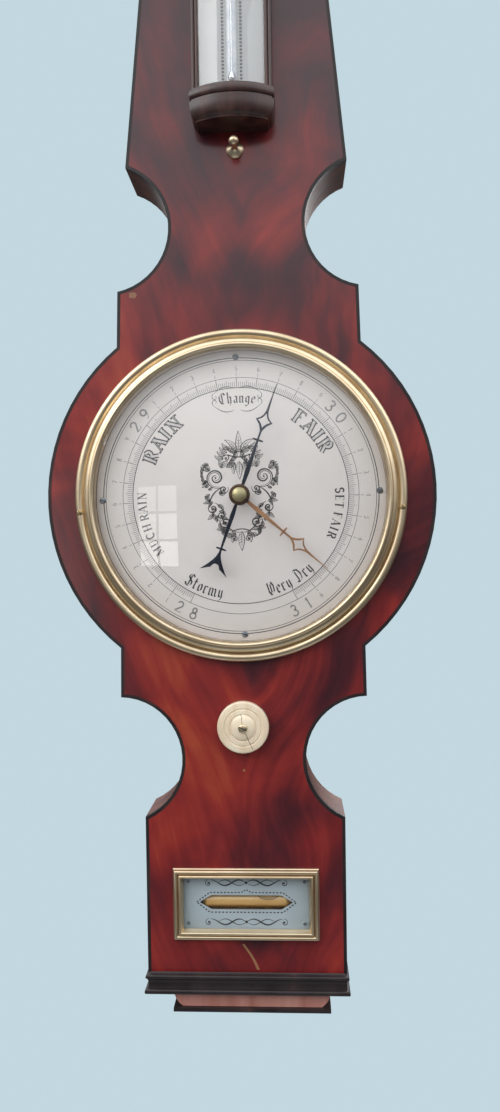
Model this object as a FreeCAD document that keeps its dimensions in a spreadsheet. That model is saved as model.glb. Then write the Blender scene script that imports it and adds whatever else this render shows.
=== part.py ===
import FreeCAD, Part
import math
import os

import Sketcher

# An eight-inch wheel barometer with a thermometer, a set hand and a spirit level, made as
# the real one is.  Millimetres.  +Z is up, +Y points into the wall and the front faces -Y.
# The origin is the middle of the hanging hole, on the back plane of the case.
# Heights that end in _up are counted from the middle of the dial, and depths that end in
# _in are counted from the front face of the case towards the wall (negative stands proud).

SIZES = {
    # case outline: half widths and heights
    "dial_height": -590, "case_depth": 43,
    "foot_up": -332, "base_half": 66.5, "low_cusp_half": 66.9, "low_cusp_up": -215.2,
    "low_neck_half": 41.5, "low_neck_up": -174.6, "low_shoulder_half": 82.4,
    "low_shoulder_up": -134.7, "waist_half": 82, "body_radius": 130.5,
    "high_shoulder_half": 81.1, "high_shoulder_up": 139.2, "high_neck_half": 45.9,
    "high_neck_up": 182, "high_cusp_half": 74.5, "high_cusp_up": 222.8,
    "trunk_half": 47, "trunk_up": 510, "cove_half": 50, "cove_up": 533,
    "head_half": 63, "head_up": 550, "top_up": 618,
    # skins and edging
    "veneer": 1, "edging": 2.2, "edging_depth": 4,
    # mouldings, base block and pediment
    "moulding_low_up": -332, "moulding_height": 14, "moulding_side": 2, "moulding_proud": 5,
    "cornice_low_up": 600, "cornice_height": 18, "cornice_side": 6, "cornice_proud": 6,
    "block_shift": 3, "block_top_half": 52.5, "block_low_half": 46.5, "block_height": 10,
    "block_depth": 42, "fillet_half": 52.5, "fillet_height": 2.5, "fillet_depth": 45,
    "pediment_half": 60, "pediment_height": 40, "pediment_flat": 14, "pediment_eave": 8,
    "pediment_in": 4, "pediment_depth": 26, "rake_width": 6, "rake_proud": 5, "rake_depth": 33,
    "finial_in": 17,
    # cavities of the carcass
    "recess_radius": 98, "recess_in": 4.3, "hole_radius": 56, "shelf_in": 33,
    "pocket_half": 66, "pocket_high": 70, "rebate_left": 76.6, "rebate_right": 75,
    "rebate_high": 80, "rebate_in": 36.1, "channel_left": 13, "channel_right": 31,
    "channel_low_up": -222, "channel_high_up": -40, "tube_channel_left": 17,
    "tube_channel_width": 14, "tube_channel_low_up": 40, "tube_channel_high_up": 610,
    "tube_channel_in": 21,
    # dial, bezel and glass
    "dial_radius": 97.5, "dial_thick": 1.8, "dial_screw_ring": 93.2, "dial_screw_radius": 2.1,
    "bush_radius": 4, "bush_flange": 5.5, "bush_lip": 0.8, "bush_bore": 2.65,
    "bezel_radius": 111, "bezel_proud": 9.2, "bezel_screw_ring": 107, "bezel_screw_drop": 10,
    "glass_radius": 98.8, "glass_rim": 5.2, "glass_thick": 2, "glass_rise": 9,
    # hands, arbor and pulleys
    "arbor_radius": 1.2, "arbor_front": 7.6, "arbor_back": 35.2, "thread_radius": 0.3,
    "thread_ring": 7.134, "groove_gap": 0.08, "thread_in": 27, "pulley_radius": 8.2,
    "pulley_half": 1.6, "hand_angle": 19.5, "set_hand_angle": 131, "hand_in": -5.9,
    "hand_thick": 0.7, "set_hand_in": -3.6, "set_hand_thick": 0.6, "hub_radius": 7,
    "hub_height": 1, "cap_radius": 4.8, "cap_height": 2.4, "set_hub_radius": 4.6,
    "set_tube_radius": 2.6, "set_tube_bore": 1.6, "set_tube_front": 4.2, "cord_in": 7,
    "cord_ring": 9.3, "cord_radius": 0.6, "cord_pulley": 10.1, "cord_pulley_half": 1.8,
    # blades of the hands
    "hand_tip": 77, "hub_neck": 1, "blade_half": 1.6, "blade_up": 16, "stem_half": 0.7,
    "bar_up": 38, "bar_thick": 0.6, "bar_half": 3.6, "lozenge_low": 44.5, "lozenge_up": 51.2,
    "lozenge_high": 57.6, "lozenge_half": 5.8, "lozenge_wall": 1.4, "fork_root": 43.5,
    "fork_half": 9.6, "fork_tip": 54.8, "fork_notch_half": 3, "fork_notch": 51,
    # setting knob
    "knob_up": -154.2, "knob_radius": 17.2, "knob_back": 1.2, "knob_front": 7.2,
    "knob_crown": 9.6, "spindle_radius": 2.5, "spindle_bore": 2.55, "spindle_front": 8,
    "bush_outer": 4.5, "knob_flange": 7, "knob_screw_radius": 3,
    # movement
    "bridge_half": 65, "bridge_high": 7, "bridge_thick": 2.5, "bridge_screw_at": 61,
    "bridge_bore": 1.25, "plate_half": 50, "plate_half_high": 6, "plate_in": 17,
    "plate_thick": 2, "pillar_at": 44, "pillar_radius": 3,
    # siphon tube, mercury, float and counterweight
    "tube_radius": 4.5, "tube_bore": 3, "long_limb_at": 24, "bend_up": -205,
    "short_top_up": -22, "long_top_up": 604, "mercury_gap": 0.02, "short_level_up": -172,
    "long_level_up": 582, "float_radius": 2.7, "float_length": 15, "float_gap": 0.3,
    "guide_radius": 3.6, "guide_bore": 2.7, "guide_low_up": -112, "guide_high_up": -22,
    "weight_radius": 2.2, "weight_length": 12, "weight_up": -75,
    "strap_left": 11, "strap_width": 26, "strap_high": 10, "strap_thick": 1,
    "strap_first_up": 140, "strap_step": 185,
    # back: hanging plate, panel, door and turn-button
    "plate_side": 13, "plate_high": 23, "hanger_thick": 2, "hanger_bore": 4,
    "nail_radius": 8, "nail_in": 31, "panel_left": 18, "panel_right": 36,
    "panel_low_up": -226, "panel_high_up": -80.2, "panel_thick": 4,
    "door_left": 73.4, "door_right": 74.6, "door_high": 79.6, "door_in": 36.5,
    "door_thick": 4.5, "hinge_at": 75, "hinge_in": 39.5, "hinge_up": 52, "hinge_high": 9,
    "knuckle_radius": 1.4, "knuckle_half": 3, "pin_radius": 0.6, "pin_bore": 0.65, "leaf_width": 13,
    "leaf_thick": 1, "leaf_in": 40, "button_at": 82, "button_arm": 14, "button_tail": 7,
    "button_in": 41.1, "button_thick": 1.2, "button_bore": 1.56,
    "button_pocket": 15.5, "button_pocket_in": 40.8,
    # spirit level
    "level_up": -273, "level_half": 48.8, "level_high": 23.5, "level_proud": 4.5,
    "level_open_half": 41.6, "level_open_high": 17, "level_well_half": 43,
    "level_well_high": 18.4, "level_well_in": 14, "level_glass_in": 0.2,
    "level_glass_thick": 1.2, "level_plate_in": 2.4, "level_plate_thick": 0.8,
    "window_half": 31.5, "window_flat": 23.5, "window_high": 4.85, "vial_radius": 5,
    "vial_half": 30, "vial_in": 8.4,
    "fit_gap": 0.2,
    "level_pin_radius": 1, "level_pin_x": 39, "level_pin_z": 14,
    # thermometer
    "thermo_up": 244, "thermo_shift": -0.7, "thermo_high": 262, "foot_high": 21,
    "foot_half": 23.5, "foot_proud": 22, "ovolo_half": 28.3, "ovolo_proud": 25,
    "ovolo_at": 12, "board_half": 26.5, "board_thick": 6, "rail_width": 4.8,
    "rail_proud": 15, "bow_half": 21.6, "bow_edge": 13, "bow_rise": 6.5, "bow_thick": 1.6,
    "scale_thick": 1, "scale_gap": 0.2, "stem_radius": 3.2, "stem_in": -10.6,
    "stem_low": 24, "stem_high": 215, "clip_radius": 3.4, "clip_wire": 0.4, "clip_up": 136, "clip_step": 60,
    "keeper_low": 50, "keeper_span": 170, "keeper_shank": 2, "keeper_head": 3.6,
    "keeper_slot": 2.2, "keeper_pocket": 4.1, "keeper_wall": 2.4, "keeper_drop": 8,
    "catch_up": 232, "catch_rose": 6, "catch_ball": 3.4, "catch_neck": 1.7,
    "catch_proud": 16, "catch_shank": 1.5, "catch_bore": 1.55, "catch_deep": 12,
    # wood screws
    "screw_head": 2.6, "screw_head_high": 1.4, "screw_shank": 1.2, "screw_length": 9,
    "hanger_screw_up": 17, "strap_screw_rise": 5, "screw_edge": 3, "panel_screw_in": 10,
    "leaf_screw_at": 82, "leaf_screw_in": 2, "leaf_screw_up": 5,
}

doc = FreeCAD.newDocument("Barometer")
sheet = doc.addObject("Spreadsheet::Sheet", "Dims")
for row, (alias, size) in enumerate(SIZES.items(), start=1):
    sheet.set(f"A{row}", alias)
    sheet.set(f"B{row}", str(size))
    sheet.setAlias(f"B{row}", alias)
doc.recompute()

NODES = {}
FRONT = FreeCAD.Rotation(FreeCAD.Vector(1, 0, 0), 90)
ALONG_X = FreeCAD.Rotation(FreeCAD.Vector(0, 1, 0), 90)
INVERTED = FreeCAD.Rotation(FreeCAD.Vector(0, 1, 0), 180).multiply(FRONT)
UPRIGHT = FreeCAD.Rotation()


# ---------------------------------------------------------------- rules and placing

def words(rule):
    """The signs, aliases and numbers in a rule such as '-case_depth + recess_in'."""
    return rule.replace("+", " + ").replace("-", " - ").split()


def value(rule):
    """The number that a sum of sheet cells and plain numbers comes to."""
    total, sign = 0.0, 1.0
    for word in words(rule):
        if word in ("+", "-"):
            sign = 1.0 if word == "+" else -1.0
        else:
            total += sign * (float(sheet.get(word)) if word in SIZES else float(word))
            sign = 1.0
    return total


def bound(rule):
    """The same rule in FreeCAD's own words, so that the sheet drives it."""
    return " ".join("Dims." + word if word in SIZES else word for word in words(rule))


def bind(obj, **rules):
    """Ties the object's properties to the sheet."""
    for name, rule in rules.items():
        setattr(obj, name, value(rule))
        obj.setExpression(name, bound(rule))
    return obj


def place(obj, at=("0", "0", "0"), turn=UPRIGHT):
    """Puts an object at a point whose three coordinates are rules."""
    base = FreeCAD.Vector(*(value(rule) for rule in at))
    obj.Placement = FreeCAD.Placement(base, turn)
    for axis, rule in zip("xyz", at):
        obj.setExpression("Placement.Base." + axis, bound(rule))
    return obj


def node(obj, name):
    """Names a finished sub-part."""
    obj.Label = name
    NODES[name] = obj
    return obj


def on_front(depth, up="0", x="0"):
    """A point at a depth behind the front face, level with the dial or above it."""
    return (x, f"-case_depth + {depth}", f"dial_height + {up}")


# ---------------------------------------------------------------- solids

def box(low, high):
    """A box between two corners given as rules."""
    block = doc.addObject("Part::Box", "Block")
    for side, start, end in zip(("Length", "Width", "Height"), low, high):
        setattr(block, side, value(end) - value(start))
        block.setExpression(side, f"({bound(end)}) - ({bound(start)})")
    return place(block, low)


def rod(radius, length, at, turn=FRONT):
    """A cylinder that grows from a point towards the viewer, or along the turn given."""
    return place(bind(doc.addObject("Part::Cylinder", "Rod"), Radius=radius, Height=length), at, turn)


def ball(radius, at):
    return place(bind(doc.addObject("Part::Sphere", "Ball"), Radius=radius), at)


def ring(ring_radius, wire_radius, at, turn=FRONT, sweep=360.0):
    """A torus, or the first part of one, round the axis that the turn gives."""
    torus = bind(doc.addObject("Part::Torus", "Ring"), Radius1=ring_radius, Radius2=wire_radius)
    torus.Angle3 = sweep
    return place(torus, at, turn)


def cut(base, *tools):
    result = doc.addObject("Part::Cut", "Cut")
    result.Base = base
    result.Tool = tools[0] if len(tools) == 1 else join(*tools)
    return result


def join(*pieces):
    result = doc.addObject("Part::MultiFuse", "Join")
    result.Shapes = list(pieces)
    return result


def group(pieces):
    """Separate solids kept in one sub-part."""
    result = doc.addObject("Part::Compound", "Group")
    result.Links = list(pieces)
    return result


def wood_screw(at, turn=FRONT, head="screw_head", shank="screw_shank", length="screw_length"):
    """A countersunk head and a shank.  The head is at the point, the shank goes inwards."""
    top = doc.addObject("Part::Cone", "Head")
    bind(top, Radius1=shank, Radius2=head, Height="screw_head_high")
    inward = turn.multVec(FreeCAD.Vector(0, 0, -1))
    sign = "-" if inward.y < 0 else "+"
    seat = (at[0], f"{at[1]} {sign} screw_head_high", at[2])
    place(top, seat, turn)
    start = (at[0], f"{at[1]} {sign} {length}", at[2])
    return join(top, rod(shank, length, start, turn))


def outline_body(plane, corners, at, turn=UPRIGHT, holes=()):
    """A body with one closed sketch.  Corners are (across, up) rules, and a third entry is
    the bulge of the side that follows, to the left of travel, as a share of its length."""
    body = doc.addObject("PartDesign::Body", "Body")
    sketch = body.newObject("Sketcher::SketchObject", "Outline")
    flats = [part for part in body.Origin.OriginFeatures if part.Role == plane]
    sketch.AttachmentSupport = [(flats[0], "")]
    sketch.MapMode = "FlatFace"
    draw_loop(sketch, corners)
    for across, up, radius in holes:
        draw_hole(sketch, across, up, radius)
    place(body, at, turn)
    return body, sketch


def draw_loop(sketch, corners):
    points = [FreeCAD.Vector(value(corner[0]), value(corner[1]), 0) for corner in corners]
    first = sketch.GeometryCount
    ends = []
    for index, corner in enumerate(corners):
        start, end = points[index], points[(index + 1) % len(points)]
        bulge = corner[2] if len(corner) == 3 else 0.0
        if bulge:
            side = end - start
            middle = (start + end) * 0.5 + FreeCAD.Vector(-side.y, side.x, 0) * bulge
            if bulge < 0:
                sketch.addGeometry(Part.Arc(start, middle, end))
                ends.append((1, 2))
            else:
                sketch.addGeometry(Part.Arc(end, middle, start))
                ends.append((2, 1))
        else:
            sketch.addGeometry(Part.LineSegment(start, end))
            ends.append((1, 2))
    for index in range(len(corners)):
        after = (index + 1) % len(corners)
        sketch.addConstraint(Sketcher.Constraint(
            "Coincident", first + index, ends[index][1], first + after, ends[after][0]))
    for index, corner in enumerate(corners):
        for kind, rule in (("DistanceX", corner[0]), ("DistanceY", corner[1])):
            pin_down(sketch, first + index, ends[index][0], kind, rule)


def pin_down(sketch, side, end, kind, rule):
    """Holds one coordinate of a sketch point to its rule."""
    axis = -2 if kind == "DistanceX" else -1
    if abs(value(rule)) < 1e-9:
        sketch.addConstraint(Sketcher.Constraint("PointOnObject", side, end, axis))
        return
    number = sketch.addConstraint(Sketcher.Constraint(kind, -1, 1, side, end, value(rule)))
    if any(word in SIZES for word in words(rule)):
        sketch.setExpression(f"Constraints[{number}]", bound(rule))


def draw_hole(sketch, across, up, radius):
    centre = FreeCAD.Vector(value(across), value(up), 0)
    side = sketch.addGeometry(Part.Circle(centre, FreeCAD.Vector(0, 0, 1), value(radius)))
    for kind, rule in (("DistanceX", across), ("DistanceY", up)):
        pin_down(sketch, side, 3, kind, rule)
    number = sketch.addConstraint(Sketcher.Constraint("Radius", side, value(radius)))
    sketch.setExpression(f"Constraints[{number}]", bound(radius))


def lathe(corners, at, plane="XY_Plane"):
    """Turned work: (radius, depth) corners round the body's Y axis, or (radius, height)
    corners round its Z axis on the XZ plane."""
    body, sketch = outline_body(plane, corners, at)
    turned = body.newObject("PartDesign::Revolution", "Turned")
    turned.Profile = sketch
    turned.ReferenceAxis = (sketch, ["V_Axis"])
    turned.Angle = 360.0
    body.Tip = turned
    return body


def plate(corners, thickness, at, turn=UPRIGHT, holes=(), plane="XZ_Plane"):
    """Flat work that grows from its plane towards the viewer (or upwards on the XY plane)."""
    body, sketch = outline_body(plane, corners, at, turn, holes)
    pad = body.newObject("PartDesign::Pad", "Plate")
    pad.Profile = sketch
    bind(pad, Length=thickness)
    body.Tip = pad
    return body


def oblong(half, high):
    """The corners of a rectangle about the middle."""
    return [(f"-{half}", f"-{high}"), (half, f"-{high}"), (half, high), (f"-{half}", high)]


# ---------------------------------------------------------------- case outline

def case_wire():
    """The outline of the front, drawn upwards on the right and back down on the left."""
    size = {alias: float(sheet.get(alias)) for alias in SIZES}
    low = math.sqrt(size["body_radius"] ** 2 - size["waist_half"] ** 2)
    right = [
        (size["base_half"], size["foot_up"], None),
        (size["low_cusp_half"], size["low_cusp_up"], (size["low_neck_half"], size["low_neck_up"])),
        (size["low_shoulder_half"], size["low_shoulder_up"], None),
        (size["waist_half"], -low, (size["body_radius"], 0)),
        (size["waist_half"], low, None),
        (size["high_shoulder_half"], size["high_shoulder_up"],
         (size["high_neck_half"], size["high_neck_up"])),
        (size["high_cusp_half"], size["high_cusp_up"], None),
        (size["trunk_half"], size["trunk_up"], (size["cove_half"], size["cove_up"])),
        (size["head_half"], size["head_up"], None),
        (size["head_half"], size["top_up"], None),
    ]
    edges = []
    for mirror in (1, -1):
        for (x, z, middle), (x_next, z_next, _) in zip(right, right[1:]):
            start = FreeCAD.Vector(mirror * x, 0, z)
            end = FreeCAD.Vector(mirror * x_next, 0, z_next)
            if middle:
                through = FreeCAD.Vector(mirror * middle[0], 0, middle[1])
                edges.append(Part.Arc(start, through, end).toShape())
            else:
                edges.append(Part.LineSegment(start, end).toShape())
    for x, z, _ in (right[0], right[-1]):
        across = Part.LineSegment(FreeCAD.Vector(-x, 0, z), FreeCAD.Vector(x, 0, z))
        edges.append(across.toShape())
    return Part.Wire(Part.__sortEdges__(edges))


def outline_at(inset):
    """The outline as a face, moved in by a distance that the sheet holds."""
    drawn = doc.addObject("Part::Feature", "CaseOutline")
    drawn.Shape = Part.Face(case_wire())
    place(drawn, ("0", "0", "dial_height"))
    if inset is None:
        return drawn
    smaller = doc.addObject("Part::Offset2D", "Inset")
    smaller.Source = drawn
    smaller.Value = -value(inset)
    smaller.setExpression("Value", f"-1 * ({bound(inset)})")
    smaller.Join = 2
    return smaller


def slab(inset, front, back):
    """The outline made solid between two depths behind the front face."""
    solid = doc.addObject("Part::Extrusion", "Slab")
    solid.Base = outline_at(inset)
    solid.DirMode = "Custom"
    solid.Dir = FreeCAD.Vector(0, -1, 0)
    solid.Solid = True
    bind(solid, LengthFwd=f"case_depth - {front}")
    solid.LengthRev = -value(f"case_depth - {back}")
    solid.setExpression("LengthRev", f"{bound(back)} - Dims.case_depth")
    return solid


# ---------------------------------------------------------------- case

def level_well(front, back):
    return box(("-level_well_half", f"-case_depth + {front}", "dial_height + level_up - level_well_high"),
               ("level_well_half", f"-case_depth + {back}", "dial_height + level_up + level_well_high"))


def front_holes(front):
    """What is cut through the front board and its veneer, from a depth outwards."""
    return [
        rod("recess_radius", f"{front} + 1", on_front(front)),
        rod("bush_outer", f"{front} + 1", on_front(front, "knob_up")),
        level_well("-1", front),
        rod("catch_bore", f"{front} + 1", on_front(front, "catch_up")),
    ]


def hinge_ups():
    return ("-hinge_up", "hinge_up")


def make_carcass():
    wood = join(slab("veneer", "edging_depth", "case_depth"), slab("edging", "veneer", "edging_depth"))
    back = "case_depth + 1"
    cavities = [
        rod("hole_radius", "shelf_in", on_front("shelf_in")),
        box(("-pocket_half", "-case_depth + shelf_in", "dial_height - pocket_high"),
            ("pocket_half", "1", "dial_height + pocket_high")),
        box(("-rebate_left", "-case_depth + rebate_in", "dial_height - rebate_high"),
            ("rebate_right", "1", "dial_height + rebate_high")),
        box(("-channel_left", "-case_depth + recess_in", "dial_height + channel_low_up"),
            ("channel_right", "1", "dial_height + channel_high_up")),
        box(("tube_channel_left", "-case_depth + tube_channel_in", "dial_height + tube_channel_low_up"),
            ("tube_channel_left + tube_channel_width", "1", "dial_height + tube_channel_high_up")),
        box(("-panel_left", "-panel_thick", "dial_height + panel_low_up"),
            ("panel_right", "1", "dial_height + panel_high_up")),
        box(("-plate_side", "-hanger_thick", "-plate_high"), ("plate_side", "1", "plate_high")),
        rod("nail_radius", f"{back} - nail_in", ("0", "1", "0")),
        rod("button_pocket", f"{back} - button_pocket_in", ("button_at", "1", "dial_height")),
        level_well("0", "level_well_in"),
        rod("catch_bore", "catch_deep", on_front("catch_deep", "catch_up")),
    ]
    for up in hinge_ups():
        cavities.append(box(
            ("-hinge_at - leaf_width - 0.2", "-case_depth + leaf_in",
             f"dial_height + {up} - hinge_high - 0.2"),
            ("-hinge_at", "1", f"dial_height + {up} + hinge_high + 0.2")))
    for step in range(3):
        low = strap_height(step)
        cavities.append(box(("strap_left", "-strap_thick", low),
                            ("strap_left + strap_width", "1", f"{low} + strap_high")))
    node(cut(wood, *cavities, *front_holes("recess_in")), "carcass")


def strap_height(step):
    steps = " + strap_step" * step
    return f"dial_height + strap_first_up{steps}"


def make_skins():
    front = slab("edging", "0", "veneer")
    node(cut(front, *front_holes("veneer")), "front_veneer")
    node(cut(slab(None, "edging_depth", "case_depth"), slab("veneer", "edging_depth", "case_depth")),
         "side_veneer")
    node(cut(slab(None, "0", "edging_depth"), slab("edging", "0", "edging_depth")), "ebony_edging")


def wrap_moulding(low, high, side, proud, half):
    """A moulding along the front with short returns on both sides of the case."""
    outer = box((f"-{half} - {side}", f"-case_depth - {proud}", low), (f"{half} + {side}", "0", high))
    return cut(outer, slab(None, "0", "case_depth"))


def make_mouldings():
    foot = "dial_height + moulding_low_up"
    node(wrap_moulding(foot, f"{foot} + moulding_height", "moulding_side", "moulding_proud", "base_half"),
         "base_moulding")
    eave = "dial_height + cornice_low_up"
    node(wrap_moulding(eave, f"{eave} + cornice_height", "cornice_side", "cornice_proud", "head_half"),
         "cornice_moulding")


def make_base():
    top, low = "0", "-block_height"
    corners = [("-block_low_half", low), ("block_low_half", low, -0.12), ("block_top_half", top),
               ("-block_top_half", top, -0.12)]
    node(plate(corners, "block_depth", ("block_shift", "0", "dial_height + foot_up")), "base_block")
    under = "dial_height + foot_up - block_height"
    node(box(("block_shift - fillet_half", "-fillet_depth", f"{under} - fillet_height"),
             ("block_shift + fillet_half", "0", under)), "base_fillet")


def make_pediment():
    """A gable with a flat top for the finial, and two raking mouldings along its slopes."""
    low, top = "pediment_eave", "pediment_height"
    gable = [("-pediment_half", "0"), ("pediment_half", "0"), ("pediment_half", low),
             ("pediment_flat", top), ("-pediment_flat", top), ("-pediment_half", low)]
    at = ("0", "-case_depth + pediment_in + pediment_depth", "dial_height + top_up")
    node(plate(gable, "pediment_depth", at), "pediment_board")
    rakes = []
    for sign in ("", "-"):
        corners = [(f"{sign}pediment_half", low), (f"{sign}pediment_half", f"{low} + rake_width"),
                   (f"{sign}pediment_flat", f"{top} + rake_width"), (f"{sign}pediment_flat", top)]
        seat = ("0", "-case_depth + pediment_in - rake_proud + rake_depth", "dial_height + top_up")
        rakes.append(plate(corners, "rake_depth", seat))
    node(group(rakes), "pediment_rakes")
    turned = [("0", "0"), ("9", "0"), ("9", "2", 0.15), ("4.5", "5"), ("4.5", "7", -0.25),
              ("8.5", "13", -0.25), ("3", "20"), ("4", "21"), ("4", "22"), ("2.4", "23", 0.08),
              ("0.6", "31"), ("0", "31")]
    node(lathe(turned, ("0", "-case_depth + finial_in", "dial_height + top_up + pediment_height"),
               "XZ_Plane"), "finial")


# ---------------------------------------------------------------- dial and bezel

def quarters(radius, depth):
    """Four points at the quarters of the dial."""
    return [("0", depth, f"dial_height + {radius}"), ("0", depth, f"dial_height - {radius}"),
            (radius, depth, "dial_height"), (f"-{radius}", depth, "dial_height")]


def make_dial():
    disc = lathe([("bush_radius", "recess_in"), ("bush_radius", "recess_in - dial_thick"),
                  ("dial_radius", "recess_in - dial_thick"), ("dial_radius", "recess_in")],
                 on_front("0"))
    node(disc, "dial_plate")
    face = "-case_depth + recess_in - dial_thick"
    heads = [rod("dial_screw_radius", "0.5", at) for at in quarters("dial_screw_ring", face)]
    node(group(heads), "dial_screws")
    lip = "recess_in - dial_thick - bush_lip"
    node(lathe([("bush_bore", lip), ("bush_flange", lip), ("bush_flange", "recess_in - dial_thick"),
                ("bush_radius", "recess_in - dial_thick"), ("bush_radius", "recess_in"),
                ("bush_bore", "recess_in")], on_front("0")), "dial_bush")


def make_bezel():
    """Rolled brass: an outer roll, a middle band, an inner bead and the seat of the glass."""
    seat, back = "-glass_rim - glass_thick - 0.35", "-glass_rim"
    profile = [
        ("97.6", "0"), ("97.6", back), ("99", back), ("99", seat), ("97.3", seat, -0.1),
        ("98.3", "-bezel_proud + 0.6", -0.42), ("101.2", "-bezel_proud + 0.6"),
        ("101.8", "-bezel_proud + 1.6"), ("103", "-bezel_proud + 1.4", -0.1),
        ("106", "-bezel_proud + 2.4"), ("106.4", "-bezel_proud + 3.4"),
        ("107.2", "-bezel_proud + 3.2", -0.3), ("bezel_radius", "-1.5"), ("bezel_radius", "0"),
    ]
    node(lathe(profile, on_front("0")), "bezel")
    heads = []
    for x in ("-bezel_screw_ring", "bezel_screw_ring"):
        heads.append(rod("1.3", "0.9", (x, "-case_depth - 5.4", "dial_height - bezel_screw_drop")))
    node(group(heads), "bezel_screws")


def make_glass():
    """A domed glass: both faces are shallow arcs, a quarter of the rise off their chord."""
    rim, front = "-glass_rim", "-glass_rim - glass_thick"
    bulge = value("glass_rise") / value("glass_radius") / 4
    corners = [("0", f"{rim} - glass_rise", -bulge), ("glass_radius", rim), ("glass_radius", front, bulge),
               ("0", f"{front} - glass_rise")]
    node(lathe(corners, on_front("0")), "dial_glass")


# ---------------------------------------------------------------- hands and arbors

def grooved(front_end, back_end, bore, shaft, rim, middle, half, ring_at, wire):
    """A turned shaft with a pulley on it, whose groove is half round for a cord or thread."""
    lip = f"{wire} + groove_gap"
    near, far = f"{middle} - {wire} - groove_gap", f"{middle} + {lip}"
    return lathe([
        (bore, front_end), (shaft, front_end), (shaft, f"{middle} - {half}"),
        (rim, f"{middle} - {half}"), (rim, near), (ring_at, near, 0.5), (ring_at, far), (rim, far),
        (rim, f"{middle} + {half}"), (shaft, f"{middle} + {half}"), (shaft, back_end),
        (bore, back_end)], on_front("0"))


def mirrored(side):
    """The same corners across the middle line, in the opposite order."""
    corners = []
    for index in range(len(side) - 1, -1, -1):
        x, z = side[index][:2]
        flipped = x[1:] if x.startswith("-") else f"-{x}"
        bulge = tuple(side[index - 1][2:]) if index else ()
        corners.append((flipped, z) + bulge)
    return corners


def blade(tail):
    """The outline of a hand that points up: a tapering stem, a crossbar, a lozenge with
    hollow sides and a fine tip, and below the hub a forked tail or a stub."""
    bar_low, bar_top = "bar_up - bar_thick", "bar_up + bar_thick"
    right = [("hub_neck", "hub_radius - 1"), ("blade_half", "blade_up"), ("stem_half", bar_low),
             ("bar_half", bar_low), ("bar_half", bar_top), ("stem_half", bar_top),
             ("stem_half", "lozenge_low", 0.12), ("lozenge_half", "lozenge_up", 0.12),
             ("stem_half", "lozenge_high")]
    corners = right + [("0", "hand_tip")] + mirrored(right)
    if tail:
        left = [("-hub_neck", "-hub_radius + 1"), ("-stem_half", "-bar_up + bar_thick"),
                ("-bar_half", "-bar_up + bar_thick"), ("-bar_half", "-bar_up - bar_thick"),
                ("-stem_half", "-bar_up - bar_thick"), ("-blade_half", "-fork_root", 0.12),
                ("-fork_half", "-fork_tip"), ("-fork_notch_half", "-fork_notch", 0.4)]
    else:
        left = [("-hub_neck", "-hub_radius + 3")]
    return corners + left + mirrored(left)


def lozenge_opening():
    """The hole in the lozenge, hollow-sided like its outside."""
    side, across = 0.12, "lozenge_half - lozenge_wall"
    return [("0", "lozenge_low + lozenge_wall", side), (across, "lozenge_up", side),
            ("0", "lozenge_high - lozenge_wall", side), ("-lozenge_half + lozenge_wall", "lozenge_up", side)]


def pointer(outline, thickness, depth, angle):
    """A hand's flat blade with its open lozenge, turned clockwise by an angle of the sheet."""
    turn = FreeCAD.Rotation(FreeCAD.Vector(0, 1, 0), value(angle))
    strip = plate(outline, thickness, on_front(depth), turn)
    opening = plate(lozenge_opening(), "3", on_front(f"{depth} + 1"), turn)
    for flat in (strip, opening):
        flat.setExpression("Placement.Rotation.Angle", f"Dims.{angle}")
    return cut(strip, opening)


def make_indicator():
    strip = pointer(blade(True), "hand_thick", "hand_in", "hand_angle")
    hub = rod("hub_radius", "hand_thick + hub_height", on_front("hand_in"))
    node(cut(join(strip, hub), rod("arbor_radius", "3", on_front("hand_in + 1"))), "indicator_hand")
    arbor = grooved("-arbor_front", "arbor_back", "0", "arbor_radius", "pulley_radius", "thread_in",
                    "pulley_half", "thread_ring", "thread_radius")
    node(arbor, "hand_arbor")
    face = "-arbor_front"
    cap = [("0", f"{face} - cap_height"), ("0", face), ("cap_radius", face),
           ("cap_radius", f"{face} - 0.6", 0.2)]
    node(lathe(cap, on_front("0")), "hand_cap")


def make_set_hand():
    strip = pointer(blade(False), "set_hand_thick", "set_hand_in", "set_hand_angle")
    hub = rod("set_hub_radius", "set_hand_thick", on_front("set_hand_in"))
    node(cut(join(strip, hub), rod("set_tube_radius", "2", on_front("set_hand_in + 1"))), "set_hand")
    tube = grooved("-set_tube_front", "cord_in + cord_pulley_half + 0.6", "set_tube_bore",
                   "set_tube_radius", "cord_pulley", "cord_in", "cord_pulley_half", "cord_ring",
                   "cord_radius")
    node(tube, "set_hand_tube")


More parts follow.
